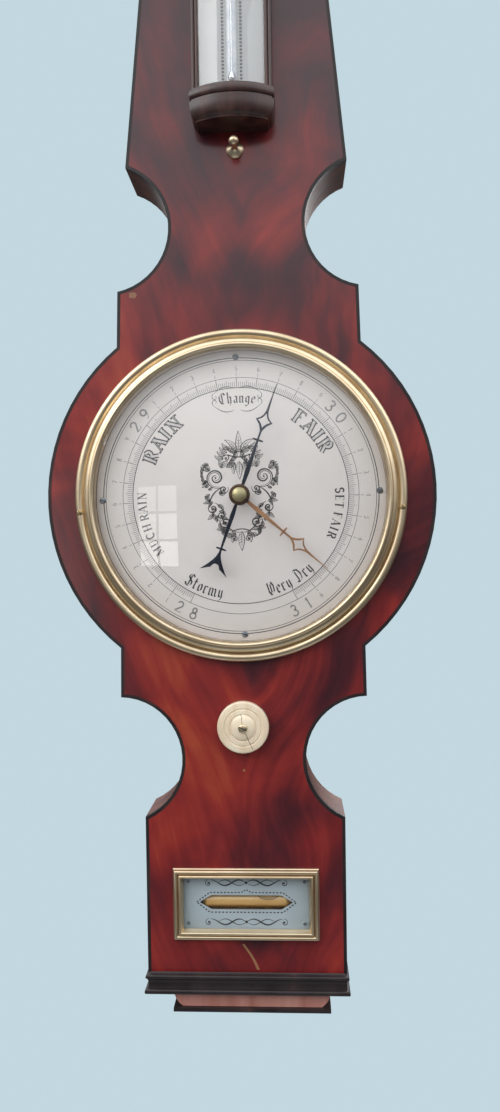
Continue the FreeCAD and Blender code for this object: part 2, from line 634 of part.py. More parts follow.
def make_setting_knob():
    spindle = grooved("-spindle_front", "cord_in + cord_pulley_half + 0.6", "0", "spindle_radius",
                      "cord_pulley", "cord_in", "cord_pulley_half", "cord_ring", "cord_radius")
    lift = doc.addObject("Part::Compound", "Spindle")
    lift.Links = [spindle]
    node(place(lift, ("0", "0", "knob_up")), "knob_spindle")
    at = on_front("0", "knob_up")
    knob = [("spindle_radius", "-knob_back"), ("knob_radius - 1", "-knob_back", 0.2),
            ("knob_radius", "-knob_back - 1"), ("knob_radius", "-knob_front + 1", 0.2),
            ("knob_radius - 1", "-knob_front"), ("12.6", "-knob_front", -0.4),
            ("11.4", "-knob_front"), ("8.4", "-knob_front", 0.12), ("3.2", "-knob_crown"),
            ("0", "-knob_crown"), ("0", "-spindle_front"), ("spindle_radius", "-spindle_front")]
    node(lathe(knob, at), "setting_knob")
    screw = [("0", "-knob_crown - 1.1"), ("0", "-knob_crown"), ("knob_screw_radius", "-knob_crown"),
             ("knob_screw_radius", "-knob_crown - 0.3", 0.15)]
    node(lathe(screw, at), "knob_screw")
    bush = [("spindle_bore", "-0.8"), ("knob_flange", "-0.8"), ("knob_flange", "0"), ("bush_outer", "0"),
            ("bush_outer", "recess_in"), ("spindle_bore", "recess_in")]
    node(lathe(bush, at), "knob_bush")


def make_setting_cord():
    """An endless gut line round the two equal pulleys, on one plane behind the dial."""
    upper = ring("cord_ring", "cord_radius", on_front("cord_in"), FRONT, 180.0)
    lower = ring("cord_ring", "cord_radius", on_front("cord_in", "knob_up"), INVERTED, 180.0)
    runs = [rod("cord_radius", "-knob_up", on_front("cord_in", "knob_up", x), UPRIGHT)
            for x in ("-cord_ring", "cord_ring")]
    node(join(upper, lower, *runs), "setting_cord")


# ---------------------------------------------------------------- movement and siphon

def make_movement():
    seat = ("0", "-case_depth + shelf_in + bridge_thick", "dial_height")
    strip = plate(oblong("bridge_half", "bridge_high"), "bridge_thick", seat,
                  holes=(("0", "0", "bridge_bore"),))
    node(strip, "movement_bridge")
    front = ("0", "-case_depth + plate_in", "dial_height")
    sheet_metal = plate(oblong("plate_half", "plate_half_high"), "plate_thick", front,
                        holes=(("0", "0", "bridge_bore"),))
    pillars = [rod("pillar_radius", "shelf_in - plate_in", on_front("shelf_in", "0", x))
               for x in ("-pillar_at", "pillar_at")]
    node(join(sheet_metal, *pillars), "movement_front_plate")


def bent_tube(radius, short_top, long_top, swell="0"):
    """The U of the siphon: a short limb, a half ring and a long limb with a round end."""
    depth, r = "thread_in", f"{radius} + {swell}"
    short = rod(r, f"{short_top} - bend_up", on_front(depth, "bend_up", "thread_ring"), UPRIGHT)
    long = rod(r, f"{long_top} - bend_up", on_front(depth, "bend_up", "long_limb_at"), UPRIGHT)
    bend = doc.addObject("Part::Torus", "Bend")
    bend.Radius1 = (value("long_limb_at") - value("thread_ring")) / 2
    bend.setExpression("Radius1", "(Dims.long_limb_at - Dims.thread_ring) / 2")
    bind(bend, Radius2=r)
    bend.Angle3 = 180.0
    place(bend, on_front(depth, "bend_up"), INVERTED)
    bend.setExpression("Placement.Base.x", "(Dims.long_limb_at + Dims.thread_ring) / 2")
    return [short, bend, long]


def make_siphon():
    glass = bent_tube("tube_radius", "short_top_up", "long_top_up")
    end = ball("tube_radius", on_front("thread_in", "long_top_up", "long_limb_at"))
    bore = bent_tube("tube_bore", "short_top_up + 1", "long_top_up")
    end_bore = ball("tube_bore", on_front("thread_in", "long_top_up", "long_limb_at"))
    node(cut(join(*glass, end), join(*bore, end_bore)), "siphon_tube")
    _, bend, long = bent_tube("tube_bore", "short_level_up", "long_level_up", "-mercury_gap")
    node(join(bend, long), "mercury_column")
    low = on_front("thread_in", "bend_up", "thread_ring")
    node(rod("tube_bore - mercury_gap", "short_level_up - bend_up", low, UPRIGHT), "mercury_short_column")


def make_float():
    """The float rests on the mercury.  Its thread passes over the pulley to the counterweight."""
    low = "short_level_up + float_gap"
    rounded = [("0", "0"), ("float_radius", "0"), ("float_radius", "float_length"),
               ("1", "float_length + 1.5"), ("0", "float_length + 1.5")]
    node(lathe(rounded, on_front("thread_in", low, "thread_ring"), "XZ_Plane"), "float")
    weight = [("0", "0"), ("weight_radius", "0"), ("weight_radius", "weight_length"),
              ("0.8", "weight_length + 1.5"), ("0", "weight_length + 1.5")]
    node(lathe(weight, on_front("thread_in", "weight_up", "-thread_ring"), "XZ_Plane"), "counterweight")
    top = f"{low} + float_length + 1.5"
    run = rod("thread_radius", "-" + top.replace("+", "-"), on_front("thread_in", top, "thread_ring"),
              UPRIGHT)
    over = ring("thread_ring", "thread_radius", on_front("thread_in"), FRONT, 180.0)
    high = "weight_up + weight_length + 1.5"
    fall = rod("thread_radius", "-" + high.replace("+", "-"),
               on_front("thread_in", high, "-thread_ring"), UPRIGHT)
    node(join(run, over, fall), "silk_thread")
    guide = [("0", "guide_low_up"), ("guide_radius", "guide_low_up"), ("guide_radius", "guide_high_up"),
             ("guide_bore", "guide_high_up"), ("guide_bore", "guide_low_up + 2"),
             ("0", "guide_low_up + 2")]
    node(lathe(guide, on_front("thread_in", "0", "-thread_ring"), "XZ_Plane"), "counterweight_tube")


def make_straps():
    """Three brass straps let into the back, each over a block of cork that holds the tube."""
    straps, blocks = [], []
    for step in range(3):
        low = strap_height(step)
        straps.append(box(("strap_left", "-strap_thick", low),
                          ("strap_left + strap_width", "0", f"{low} + strap_high")))
        blocks.append(box(("long_limb_at - 6", "-case_depth + thread_in + tube_radius", low),
                          ("long_limb_at + 6", "-strap_thick", f"{low} + strap_high")))
    node(group(straps), "tube_straps")
    node(group(blocks), "tube_packing")


# ---------------------------------------------------------------- back of the case

def make_hanger():
    corners = oblong("plate_side", "plate_high")
    node(plate(corners, "hanger_thick", ("0", "0", "0"), holes=(("0", "0", "hanger_bore"),)),
         "hanging_plate")


def make_back_panel():
    node(box(("-panel_left", "-panel_thick", "dial_height + panel_low_up + 0.2"),
             ("panel_right", "0", "dial_height + panel_high_up")), "lower_back_panel")


def knuckle(low, length, bore=None):
    """A length of hinge knuckle standing on its axis, bored where it turns on the pin."""
    foot = ("-hinge_at", "-case_depth + hinge_in", f"dial_height + {low}")
    barrel = rod("knuckle_radius", length, foot, UPRIGHT)
    return barrel if bore is None else cut(barrel, rod(bore, length, foot, UPRIGHT))


def leaf(start, end, low, high):
    """A flat of hinge brass between two distances across and two heights."""
    return box((start, "-case_depth + leaf_in", f"dial_height + {low}"),
               (end, "-case_depth + leaf_in + leaf_thick", f"dial_height + {high}"))


def make_hinges():
    """Two butt hinges let in below the back plane.  The case side keeps the pins."""
    fixed, swinging = [], []
    for up in hinge_ups():
        low, high = f"{up} - hinge_high", f"{up} + hinge_high"
        inner_low, inner_high = f"{up} - knuckle_half", f"{up} + knuckle_half"
        flat = cut(leaf("-hinge_at - leaf_width", "-hinge_at", low, high),
                   leaf("-hinge_at - 2.4", "-hinge_at + 1", f"{inner_low} - 0.1", f"{inner_high} + 0.1"))
        foot = ("-hinge_at", "-case_depth + hinge_in", f"dial_height + {low}")
        pin = rod("pin_radius", "hinge_high + hinge_high", foot, UPRIGHT)
        fixed.append(join(flat, knuckle(low, "hinge_high - knuckle_half"),
                          knuckle(inner_high, "hinge_high - knuckle_half"), pin))
        moving = leaf("-hinge_at", "-hinge_at + leaf_width", low, high)
        gaps = [leaf("-hinge_at - 1", "-hinge_at + 2.4", low, inner_low),
                leaf("-hinge_at - 1", "-hinge_at + 2.4", inner_high, high)]
        middle = knuckle(f"{inner_low} + 0.1", "knuckle_half + knuckle_half - 0.2", "pin_bore")
        bored = rod("pin_bore", "hinge_high + hinge_high", foot, UPRIGHT)
        shortened = cut(moving, *gaps, bored, leaf("-hinge_at - 1", "-hinge_at + 2.4", inner_low,
                                                   f"{inner_low} + 0.1"),
                        leaf("-hinge_at - 1", "-hinge_at + 2.4", f"{inner_high} - 0.1", inner_high))
        swinging.append(join(shortened, middle))
    node(group(fixed), "case_hinge_leaves")
    node(group(swinging), "door_hinge_leaves")


def make_back_door():
    board = box(("-door_left", "-case_depth + door_in", "dial_height - door_high"),
                ("door_right", "-case_depth + door_in + door_thick", "dial_height + door_high"))
    beds = [leaf("-hinge_at", "-hinge_at + leaf_width", f"{up} - hinge_high", f"{up} + hinge_high")
            for up in hinge_ups()]
    node(cut(board, *beds), "back_door")
    corners = [("-3.5", "-button_tail"), ("3.5", "-button_tail"), ("3.5", "button_arm"),
               ("-3.5", "button_arm")]
    at = ("button_at", "-case_depth + button_in + button_thick", "dial_height")
    node(plate(corners, "button_thick", at, holes=(("0", "0", "button_bore"),)), "door_button")


def make_back_screws():
    """Wood screws of the hanging plate, straps, panel, hinges and bridge, heads to the wall."""
    facing_wall = FreeCAD.Rotation(FreeCAD.Vector(1, 0, 0), -90)
    seats = [("0", "0", "hanger_screw_up"), ("0", "0", "-hanger_screw_up")]
    for step in range(3):
        middle = f"{strap_height(step)} + strap_screw_rise"
        seats += [("strap_left + screw_edge", "0", middle),
                  ("strap_left + strap_width - screw_edge", "0", middle)]
    for up in ("panel_high_up - panel_screw_in", "panel_low_up + panel_screw_in"):
        seats += [(x, "0", f"dial_height + {up}")
                  for x in ("-panel_left + screw_head", "panel_right - screw_head")]
    for up in hinge_ups():
        seats += [("-leaf_screw_at", "-leaf_screw_in", f"dial_height + {up} {rise}")
                  for rise in ("+ leaf_screw_up", "- leaf_screw_up")]
    seats += [(x, "-case_depth + shelf_in + bridge_thick", "dial_height")
              for x in ("-bridge_screw_at", "bridge_screw_at")]
    screws = [wood_screw(seat, facing_wall) for seat in seats]
    pivot = rod("1.5", "12", ("button_at", "-0.6", "dial_height"))
    head = rod("screw_head", "0.5", ("button_at", "-0.1", "dial_height"))
    node(group(screws + [join(pivot, head)]), "back_screws")


# ---------------------------------------------------------------- spirit level

def make_level():
    at = on_front("0", "level_up")
    rim = plate(oblong("level_half", "level_high"), "level_proud", at)
    window = box(("-level_open_half", "-case_depth - 6", "dial_height + level_up - level_open_high"),
                 ("level_open_half", "-case_depth + 1", "dial_height + level_up + level_open_high"))
    node(cut(rim, window), "level_frame")
    left, right = "-level_well_half + fit_gap", "level_well_half - fit_gap"
    low, high = "-level_well_high + fit_gap", "level_well_high - fit_gap"
    node(box((left, "-case_depth + level_glass_in", f"dial_height + level_up {low}"),
             (right, "-case_depth + level_glass_in + level_glass_thick",
              f"dial_height + level_up + {high}")), "level_glass")
    sides = [(left, low), (right, low), (right, high), (left, high)]
    silver = plate(sides, "level_plate_thick", on_front("level_plate_in + level_plate_thick", "level_up"))
    slot = [("-window_half", "0"), ("-window_flat", "-window_high"), ("window_flat", "-window_high"),
            ("window_half", "0"), ("window_flat", "window_high"), ("-window_flat", "window_high")]
    opening = plate(slot, "3", on_front("level_plate_in + level_plate_thick + 1", "level_up"))
    node(cut(silver, opening), "level_plate")
    node(rod("vial_radius", "vial_half + vial_half", on_front("vial_in", "level_up", "-vial_half"),
             ALONG_X), "level_vial")
    pins = [rod("level_pin_radius", "0.6", on_front("level_plate_in", f"level_up {z}", x))
            for x in ("-level_pin_x", "level_pin_x") for z in ("- level_pin_z", "+ level_pin_z")]
    node(group(pins), "level_pins")


# ---------------------------------------------------------------- thermometer

def thermo(x, depth, up):
    """A point in the thermometer's own frame: across, behind the case front, and above its foot."""
    return (f"thermo_shift + {x}" if not x.startswith("-") else f"thermo_shift {x}",
            f"-case_depth + {depth}" if not depth.startswith("-") else f"-case_depth {depth}",
            f"dial_height + thermo_up + {up}")


def bowed(half, proud, length, up):
    """A block with a flat back and a bowed front, standing at a height."""
    bulge = value("bow_rise") / (2 * value(half))
    edge = f"-{proud} + bow_rise"
    corners = [(f"-{half}", "0"), (f"-{half}", edge, -bulge), (half, edge), (half, "0")]
    return plate(corners, length, thermo("0", "0", up), plane="XY_Plane")


def make_thermometer():
    low, top = "foot_high", "thermo_high - foot_high"
    board = box(thermo("-board_half", "-board_thick", low), thermo("board_half", "0", top))
    node(cut(board, *keyholes()), "thermo_backboard")
    node(join(bowed("foot_half", "foot_proud", "ovolo_at", "0"),
              bowed("ovolo_half", "ovolo_proud", "foot_high - ovolo_at", "ovolo_at")), "thermo_foot")
    node(join(bowed("ovolo_half", "ovolo_proud", "foot_high - ovolo_at", top),
              bowed("foot_half", "foot_proud", "ovolo_at", "thermo_high - ovolo_at")), "thermo_cap")
    rails = [box(thermo("-board_half", "-rail_proud", low),
                 thermo("-board_half + rail_width", "-board_thick", top)),
             box(thermo("board_half - rail_width", "-rail_proud", low),
                 thermo("board_half", "-board_thick", top))]
    node(group(rails), "thermo_rails")
    bulge = value("bow_rise") / (2 * value("bow_half"))
    bow = [("-bow_half", "-bow_edge"), ("-bow_half", "-bow_edge - bow_thick", -bulge),
           ("bow_half", "-bow_edge - bow_thick"), ("bow_half", "-bow_edge", bulge)]
    node(plate(bow, "thermo_high - foot_high - foot_high", thermo("0", "0", low), plane="XY_Plane"),
         "thermo_glass")
    scale_front = "-board_thick - scale_gap - scale_thick"
    node(box(thermo("-bow_half", scale_front, f"{low} + fit_gap"),
             thermo("bow_half", "-board_thick - scale_gap", "thermo_high - foot_high - fit_gap")),
         "thermo_scale")
    stem = rod("stem_radius", "stem_high - stem_low", thermo("0", "stem_in", "stem_low"), UPRIGHT)
    tip = ball("stem_radius", thermo("0", "stem_in", "stem_high"))
    node(join(stem, tip), "thermo_tube")
    clips = []
    for step in range(2):
        up = "clip_up" + " + clip_step" * step
        front = ring("clip_radius + clip_wire", "clip_wire", thermo("0", "stem_in", up), UPRIGHT, 180.0)
        front.Placement.Rotation = FreeCAD.Rotation(FreeCAD.Vector(0, 0, 1), 180)
        legs = [rod("clip_wire", "-stem_in - board_thick - scale_gap - scale_thick",
                    thermo(x, scale_front, up))
                for x in ("-clip_radius - clip_wire", "clip_radius + clip_wire")]
        clips.append(join(front, *legs))
    node(group(clips), "thermo_clips")
    keepers = []
    for up in keeper_ups():
        shank = rod("keeper_shank", "keeper_wall + 10.2", thermo("0", "10", up))
        head = rod("keeper_head", "2", thermo("0", "-keeper_wall - 0.2", up))
        keepers.append(join(shank, head))
    node(group(keepers), "keeper_screws")


def keeper_ups():
    return ("keeper_low", "keeper_low + keeper_span")


def keyholes():
    """Slots in the back of the thermometer board: it drops onto its screws and lifts off."""
    cuts = []
    for up in keeper_ups():
        low = f"{up} - keeper_drop"
        deep = "keeper_wall + 2.6"
        cuts += [
            box(thermo("-keeper_slot", "-keeper_wall", low), thermo("keeper_slot", "1", up)),
            rod("keeper_slot", "keeper_wall + 1", thermo("0", "1", up)),
            box(thermo("-keeper_pocket", "-keeper_wall - 2.6", low),
                thermo("keeper_pocket", "-keeper_wall", up)),
            rod("keeper_pocket", "2.6", thermo("0", "-keeper_wall", up)),
            rod("keeper_pocket", f"{deep} + 1", thermo("0", "1", low)),
        ]
    return cuts


def make_catch():
    """The small turned knob under the thermometer, with its rose and its shank."""
    stem = "-catch_proud + catch_ball + catch_ball - 0.4"
    corners = [("0", "-catch_proud"), ("0", "catch_deep - 0.5"), ("catch_shank", "catch_deep - 0.5"),
               ("catch_shank", "-0.1"), ("catch_rose", "-0.1"), ("catch_rose", "-0.9", 0.2),
               ("catch_neck", "-4"), ("catch_neck", stem, 0.42)]
    node(lathe(corners, on_front("0", "catch_up")), "catch_knob")


# ---------------------------------------------------------------- build, check and write

def make_all():
    make_carcass()
    make_skins()
    make_mouldings()
    make_base()
    make_pediment()
    make_dial()
    make_bezel()
    make_glass()
    make_indicator()
    make_set_hand()
    make_setting_knob()
    make_setting_cord()
    make_movement()
    make_siphon()
    make_float()
    make_straps()
    make_hanger()
    make_back_panel()
    make_hinges()
    make_back_door()
    make_back_screws()
    make_level()
    make_thermometer()
    make_catch()
    doc.recompute()


def check_all():
    for obj in doc.Objects:
        if "Invalid" in obj.State or "Error" in obj.State:
            raise SystemExit(f"{obj.Label} ({obj.Name}) failed: {obj.State} {obj.getStatusString()}")
    for name, obj in NODES.items():
        if obj.Shape.isNull() or not obj.Shape.isValid():
            raise SystemExit(f"{name} has no valid shape")


def export_all():
    os.makedirs("parts", exist_ok=True)
    for name, obj in NODES.items():
        obj.Shape.exportStep(f"parts/{name}.step")
        print(f"{name:24s} {len(obj.Shape.Solids)} solid(s) {obj.Shape.Volume:10.1f} mm3")
    print(len(NODES), "sub-parts")


make_all()
check_all()
export_all()
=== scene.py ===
"""An English wheel barometer: looks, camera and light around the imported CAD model."""
import math

import bmesh
import bpy
from mathutils import Matrix, Vector


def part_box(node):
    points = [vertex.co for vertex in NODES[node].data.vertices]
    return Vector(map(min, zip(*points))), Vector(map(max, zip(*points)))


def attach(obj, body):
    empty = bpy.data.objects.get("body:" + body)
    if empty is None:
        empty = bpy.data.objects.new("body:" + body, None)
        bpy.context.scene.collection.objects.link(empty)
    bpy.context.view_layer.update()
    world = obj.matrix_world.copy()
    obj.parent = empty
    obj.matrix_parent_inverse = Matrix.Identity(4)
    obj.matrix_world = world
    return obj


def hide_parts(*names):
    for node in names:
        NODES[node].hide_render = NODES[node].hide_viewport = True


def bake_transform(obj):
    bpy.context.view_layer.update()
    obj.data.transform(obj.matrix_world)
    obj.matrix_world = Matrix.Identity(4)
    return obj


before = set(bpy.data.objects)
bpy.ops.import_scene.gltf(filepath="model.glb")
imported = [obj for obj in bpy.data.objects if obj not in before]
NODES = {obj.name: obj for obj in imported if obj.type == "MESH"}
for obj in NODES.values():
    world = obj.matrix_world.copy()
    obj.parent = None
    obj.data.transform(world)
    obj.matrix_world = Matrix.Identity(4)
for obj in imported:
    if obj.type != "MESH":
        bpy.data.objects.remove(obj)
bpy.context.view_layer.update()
MM = 0.001


def mid(node, axis):
    low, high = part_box(node)
    return (low[axis] + high[axis]) / 2


# Key places, all from the frame: the dial centre, the case front, the knob and the level.
DIAL = Vector((0.0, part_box("front_veneer")[0][1], mid("dial_plate", 2)))
KNOB = Vector((0.0, DIAL.y, mid("setting_knob", 2)))
LEVEL = Vector((0.0, DIAL.y, mid("level_frame", 2)))
CATCH = Vector((0.0, DIAL.y, mid("catch_knob", 2)))
THERMO = Vector((mid("thermo_backboard", 0), DIAL.y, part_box("thermo_foot")[0][2]))
DIAL_FACE = (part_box("dial_plate")[0][1] - DIAL.y) / MM
SCALE_FACE = (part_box("thermo_scale")[0][1] - DIAL.y) / MM
LEVEL_FACE = (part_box("level_plate")[0][1] - DIAL.y) / MM
# Degrees clockwise from the top: the two hands as stored, and the dial plate's slight lean.
HAND_ANGLE, SET_HAND_ANGLE, DIAL_TURN = 19.5, 131.0, -1.1
# How far engraved marks stand proud of their plate, in mm, so that the two surfaces never meet.
MARK_PROUD = 0.03


# ---------------------------------------------------------------- mesh helpers

def add_mesh(name, verts, faces, smooth=None):
    """A mesh object from points in metres.  Smooth is the angle below which edges are soft."""
    mesh = bpy.data.meshes.new(name)
    mesh.from_pydata([tuple(v) for v in verts], [], faces)
    mesh.validate()
    obj = linked(name, mesh)
    tidy_mesh(obj, smooth)
    return obj


def linked(name, data):
    """An object in the scene for a mesh, curve, lamp or camera."""
    obj = bpy.data.objects.new(name, data)
    bpy.context.scene.collection.objects.link(obj)
    return obj


def from_bmesh(name, bm):
    mesh = bpy.data.meshes.new(name)
    bm.to_mesh(mesh)
    bm.free()
    return linked(name, mesh)


def tidy_mesh(obj, smooth):
    bm = bmesh.new()
    bm.from_mesh(obj.data)
    bmesh.ops.remove_doubles(bm, verts=bm.verts, dist=1e-7)
    bmesh.ops.recalc_face_normals(bm, faces=bm.faces)
    if smooth is not None:
        for face in bm.faces:
            face.smooth = True
        for edge in bm.edges:
            sharp = len(edge.link_faces) != 2 or edge.calc_face_angle(0.0) > math.radians(smooth)
            edge.smooth = not sharp
    bm.to_mesh(obj.data)
    bm.free()


def bow(cx, cy, rx, ry, start, end, steps=9):
    """Points along an ellipse's arc, angles in degrees.  A radius below 0 mirrors it."""
    angles = [math.radians(start + (end - start) * i / steps) for i in range(steps + 1)]
    return [(cx + rx * math.cos(a), cy + ry * math.sin(a)) for a in angles]


def arc(cx, cy, radius, start, end, steps):
    """Points along a circle's arc, angles in degrees."""
    return bow(cx, cy, radius, radius, start, end, steps)


def spoke(radius, degrees):
    """A point on a circle round the dial's centre, at an angle clockwise from the top."""
    a = math.radians(degrees)
    return radius * math.sin(a), radius * math.cos(a)


def moved(origin, x, depth, up):
    """A place so many mm from another."""
    return origin + Vector((x, depth, up)) * MM


def mirrored(points, sign):
    return [(sign * x, y) for x, y in points]


def turned(name, profile, centre, steps=96, axis="Y", smooth=35):
    """Lathe work from (radius, depth) in mm, round the Y or the Z axis through a centre."""
    verts, faces = [], []
    rows = len(profile)
    for i in range(steps):
        a = 2 * math.pi * i / steps
        for radius, along in profile:
            if axis == "Y":
                offset = Vector((radius * math.cos(a), along, radius * math.sin(a)))
            else:
                offset = Vector((radius * math.cos(a), radius * math.sin(a), along))
            verts.append(centre + offset * MM)
    for i in range(steps):
        for j in range(rows):
            k, n = (i + 1) % steps, (j + 1) % rows
            faces.append((i * rows + j, k * rows + j, k * rows + n, i * rows + n))
    obj = add_mesh(name, verts, faces)
    bm = bmesh.new()
    bm.from_mesh(obj.data)
    bmesh.ops.dissolve_degenerate(bm, edges=bm.edges, dist=1e-8)
    bm.to_mesh(obj.data)
    bm.free()
    tidy_mesh(obj, smooth)
    return obj


def slab(name, outline, front, back, origin, turn=0.0, bevel=0.0, holes=()):
    """A flat plate from (x, z) loops in mm between two depths, with a bevelled front rim."""
    bm = bmesh.new()
    edges = []
    for loop in (outline, *holes):
        ring = [bm.verts.new(placed(point, back, origin, turn)) for point in loop]
        edges += [bm.edges.new((ring[i - 1], ring[i])) for i in range(len(ring))]
    bmesh.ops.triangle_fill(bm, edges=edges, use_beauty=True)
    made = bmesh.ops.extrude_face_region(bm, geom=bm.faces[:])
    verts = [v for v in made["geom"] if isinstance(v, bmesh.types.BMVert)]
    bmesh.ops.translate(bm, verts=verts, vec=Vector((0, (front - back) * MM, 0)))
    bmesh.ops.recalc_face_normals(bm, faces=bm.faces)
    if bevel:
        level = origin.y + front * MM
        rim = [e for e in bm.edges if e.calc_face_angle(0.0) > 1.0
               and all(abs(v.co.y - level) < 1e-7 for v in e.verts)]
        bmesh.ops.bevel(bm, geom=rim, offset=bevel * MM, segments=2, affect="EDGES", profile=0.6)
    return from_bmesh(name, bm)


def placed(point, depth, origin, turn=0.0):
    """A point (x, z) in mm, turned clockwise by some degrees, at a depth behind the front."""
    a = math.radians(turn)
    x = point[0] * math.cos(a) + point[1] * math.sin(a)
    z = -point[0] * math.sin(a) + point[1] * math.cos(a)
    return moved(origin, x, depth, z)


def join(name, objects):
    """Several meshes made into one."""
    bm = bmesh.new()
    for obj in objects:
        bm.from_mesh(obj.data)
        bpy.data.objects.remove(obj)
    return from_bmesh(name, bm)


def tube(name, points, radius):
    """A round wire along points in metres."""
    curve = bpy.data.curves.new(name, "CURVE")
    curve.dimensions = "3D"
    curve.bevel_depth = radius
    curve.bevel_resolution = 2
    curve.use_fill_caps = True
    spline = curve.splines.new("POLY")
    spline.points.add(len(points) - 1)
    for target, point in zip(spline.points, points):
        target.co = (*point, 1.0)
    spline.use_smooth = True
    helper = linked(name + "_path", curve)
    mesh = bpy.data.meshes.new_from_object(helper)
    bpy.data.objects.remove(helper)
    mesh.name = name
    return linked(name, mesh)


def finish_piece(obj, material, body, nodes=()):
    """Gives a piece its material, its body and the CAD nodes that it stands for."""
    obj.data.materials.clear()
    obj.data.materials.append(material)
    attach(obj, body)
    if nodes:
        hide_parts(*nodes)


def wrapped(name, path, profile, centre, smooth=35, strip=False):
    """A moulding of (out, up) points carried round a (x, depth) path that starts and ends
    against something flat behind it: a solid block, or a strip with a closed profile."""
    count = len(path)
    rows = []
    for out, up in profile:
        row = []
        for i, (x, depth) in enumerate(path):
            if i in (0, count - 1):
                shift = (math.copysign(out, x), 0.0)
            else:
                shift = mitre(path[i - 1], path[i], path[i + 1], out)
            row.append(moved(centre, x + shift[0], depth + shift[1], up))
        rows.append(row)
    verts = [v for row in rows for v in row]
    if strip:
        faces = [tuple(r * count + i for r in range(len(rows))) for i in (0, count - 1)]
    else:
        faces = [tuple(range(count)), tuple(range((len(rows) - 1) * count, len(rows) * count))]
    for r in range(len(rows) if strip else len(rows) - 1):
        n = (r + 1) % len(rows)
        for i in range(count - 1 if strip else count):
            k = (i + 1) % count
            faces.append((r * count + i, r * count + k, n * count + k, n * count + i))
    return add_mesh(name, verts, faces, smooth)


def mitre(before, here, after, out):
    """How far a path's corner moves when both its sides move outwards."""
    normals = []
    for start, end in ((before, here), (here, after)):
        along = Vector((end[0] - start[0], end[1] - start[1])).normalized()
        normals.append(Vector((-along.y, along.x)))
    middle = (normals[0] + normals[1]).normalized()
    return middle * (out / middle.dot(normals[0]))


def prism(name, section, low, high, centre, smooth=35):
    """A straight length of a (x, depth) section, standing between two heights."""
    count = len(section)
    verts = [moved(centre, x, depth, up) for up in (low, high) for x, depth in section]
    faces = [tuple(range(count)), tuple(range(count, 2 * count))]
    faces += [(i, (i + 1) % count, count + (i + 1) % count, count + i) for i in range(count)]
    return add_mesh(name, verts, faces, smooth)


def framed(name, profile, half, high, origin, smooth=30):
    """A mitred frame: (inset, proud) points carried round a rectangle."""
    verts, faces = [], []
    rows = len(profile)
    for inset, proud in profile:
        for sx, sz in ((-1, -1), (1, -1), (1, 1), (-1, 1)):
            verts.append(moved(origin, sx * (half - inset), -proud, sz * (high - inset)))
    for r in range(rows):
        for i in range(4):
            n, k = (r + 1) % rows, (i + 1) % 4
            faces.append((r * 4 + i, r * 4 + k, n * 4 + k, n * 4 + i))
    return add_mesh(name, verts, faces, smooth)


# ---------------------------------------------------------------- engraving

class Ink:
    """Flat engraved marks gathered as polygons in the (x, z) plane of a plate, in mm."""

    def __init__(self):
        self.verts = []
        self.faces = []

    def polygon(self, points, warp=None):
        start = len(self.verts)
        self.verts += [warp(*p) if warp else p for p in points]
        self.faces.append(tuple(range(start, start + len(points))))

    def ribbon(self, points, width, warp=None, end_width=None):
        """A line of constant width, or one that swells in the middle and ends fine."""
        sides = []
        last = len(points) - 1
        for i, (x, y) in enumerate(points):
            ahead = points[min(i + 1, last)]
            behind = points[max(i - 1, 0)]
            dx, dy = ahead[0] - behind[0], ahead[1] - behind[1]
            length = math.hypot(dx, dy) or 1.0
            half = width / 2
            if end_width is not None:
                swell = math.sin(math.pi * i / last)
                half = (end_width + (width - end_width) * swell) / 2
            nx, ny = -dy / length * half, dx / length * half
            sides.append(((x + nx, y + ny), (x - nx, y - ny)))
        for (a, b), (c, d) in zip(sides, sides[1:]):
            self.polygon((a, b, d, c), warp)

    def pen(self, points, nib, warp=None):
        """A stroke of a broad pen whose edge is the nib vector."""
        nx, ny = nib[0] / 2, nib[1] / 2
        for (ax, ay), (bx, by) in zip(points, points[1:]):
            corners = ((ax - nx, ay - ny), (ax + nx, ay + ny), (bx + nx, by + ny), (bx - nx, by - ny))
            self.polygon(corners, warp)

    def radial(self, degrees, inner, outer, width):
        """A mark that points at the dial's centre."""
        self.ribbon([spoke(inner, degrees), spoke(outer, degrees)], width)

    def circle(self, radius, width, steps=240):
        inner, outer = radius - width / 2, radius + width / 2
        for i in range(steps):
            a, b = 360 * i / steps, 360 * (i + 1) / steps
            self.polygon((spoke(inner, a), spoke(inner, b), spoke(outer, b), spoke(outer, a)))

    def dot(self, x, y, radius):
        self.polygon(arc(x, y, radius, 0, 300, 5))

    def build(self, name, origin, depth, turn=0.0):
        verts = [placed(p, depth, origin, turn) for p in self.verts]
        return add_mesh(name, verts, self.faces)


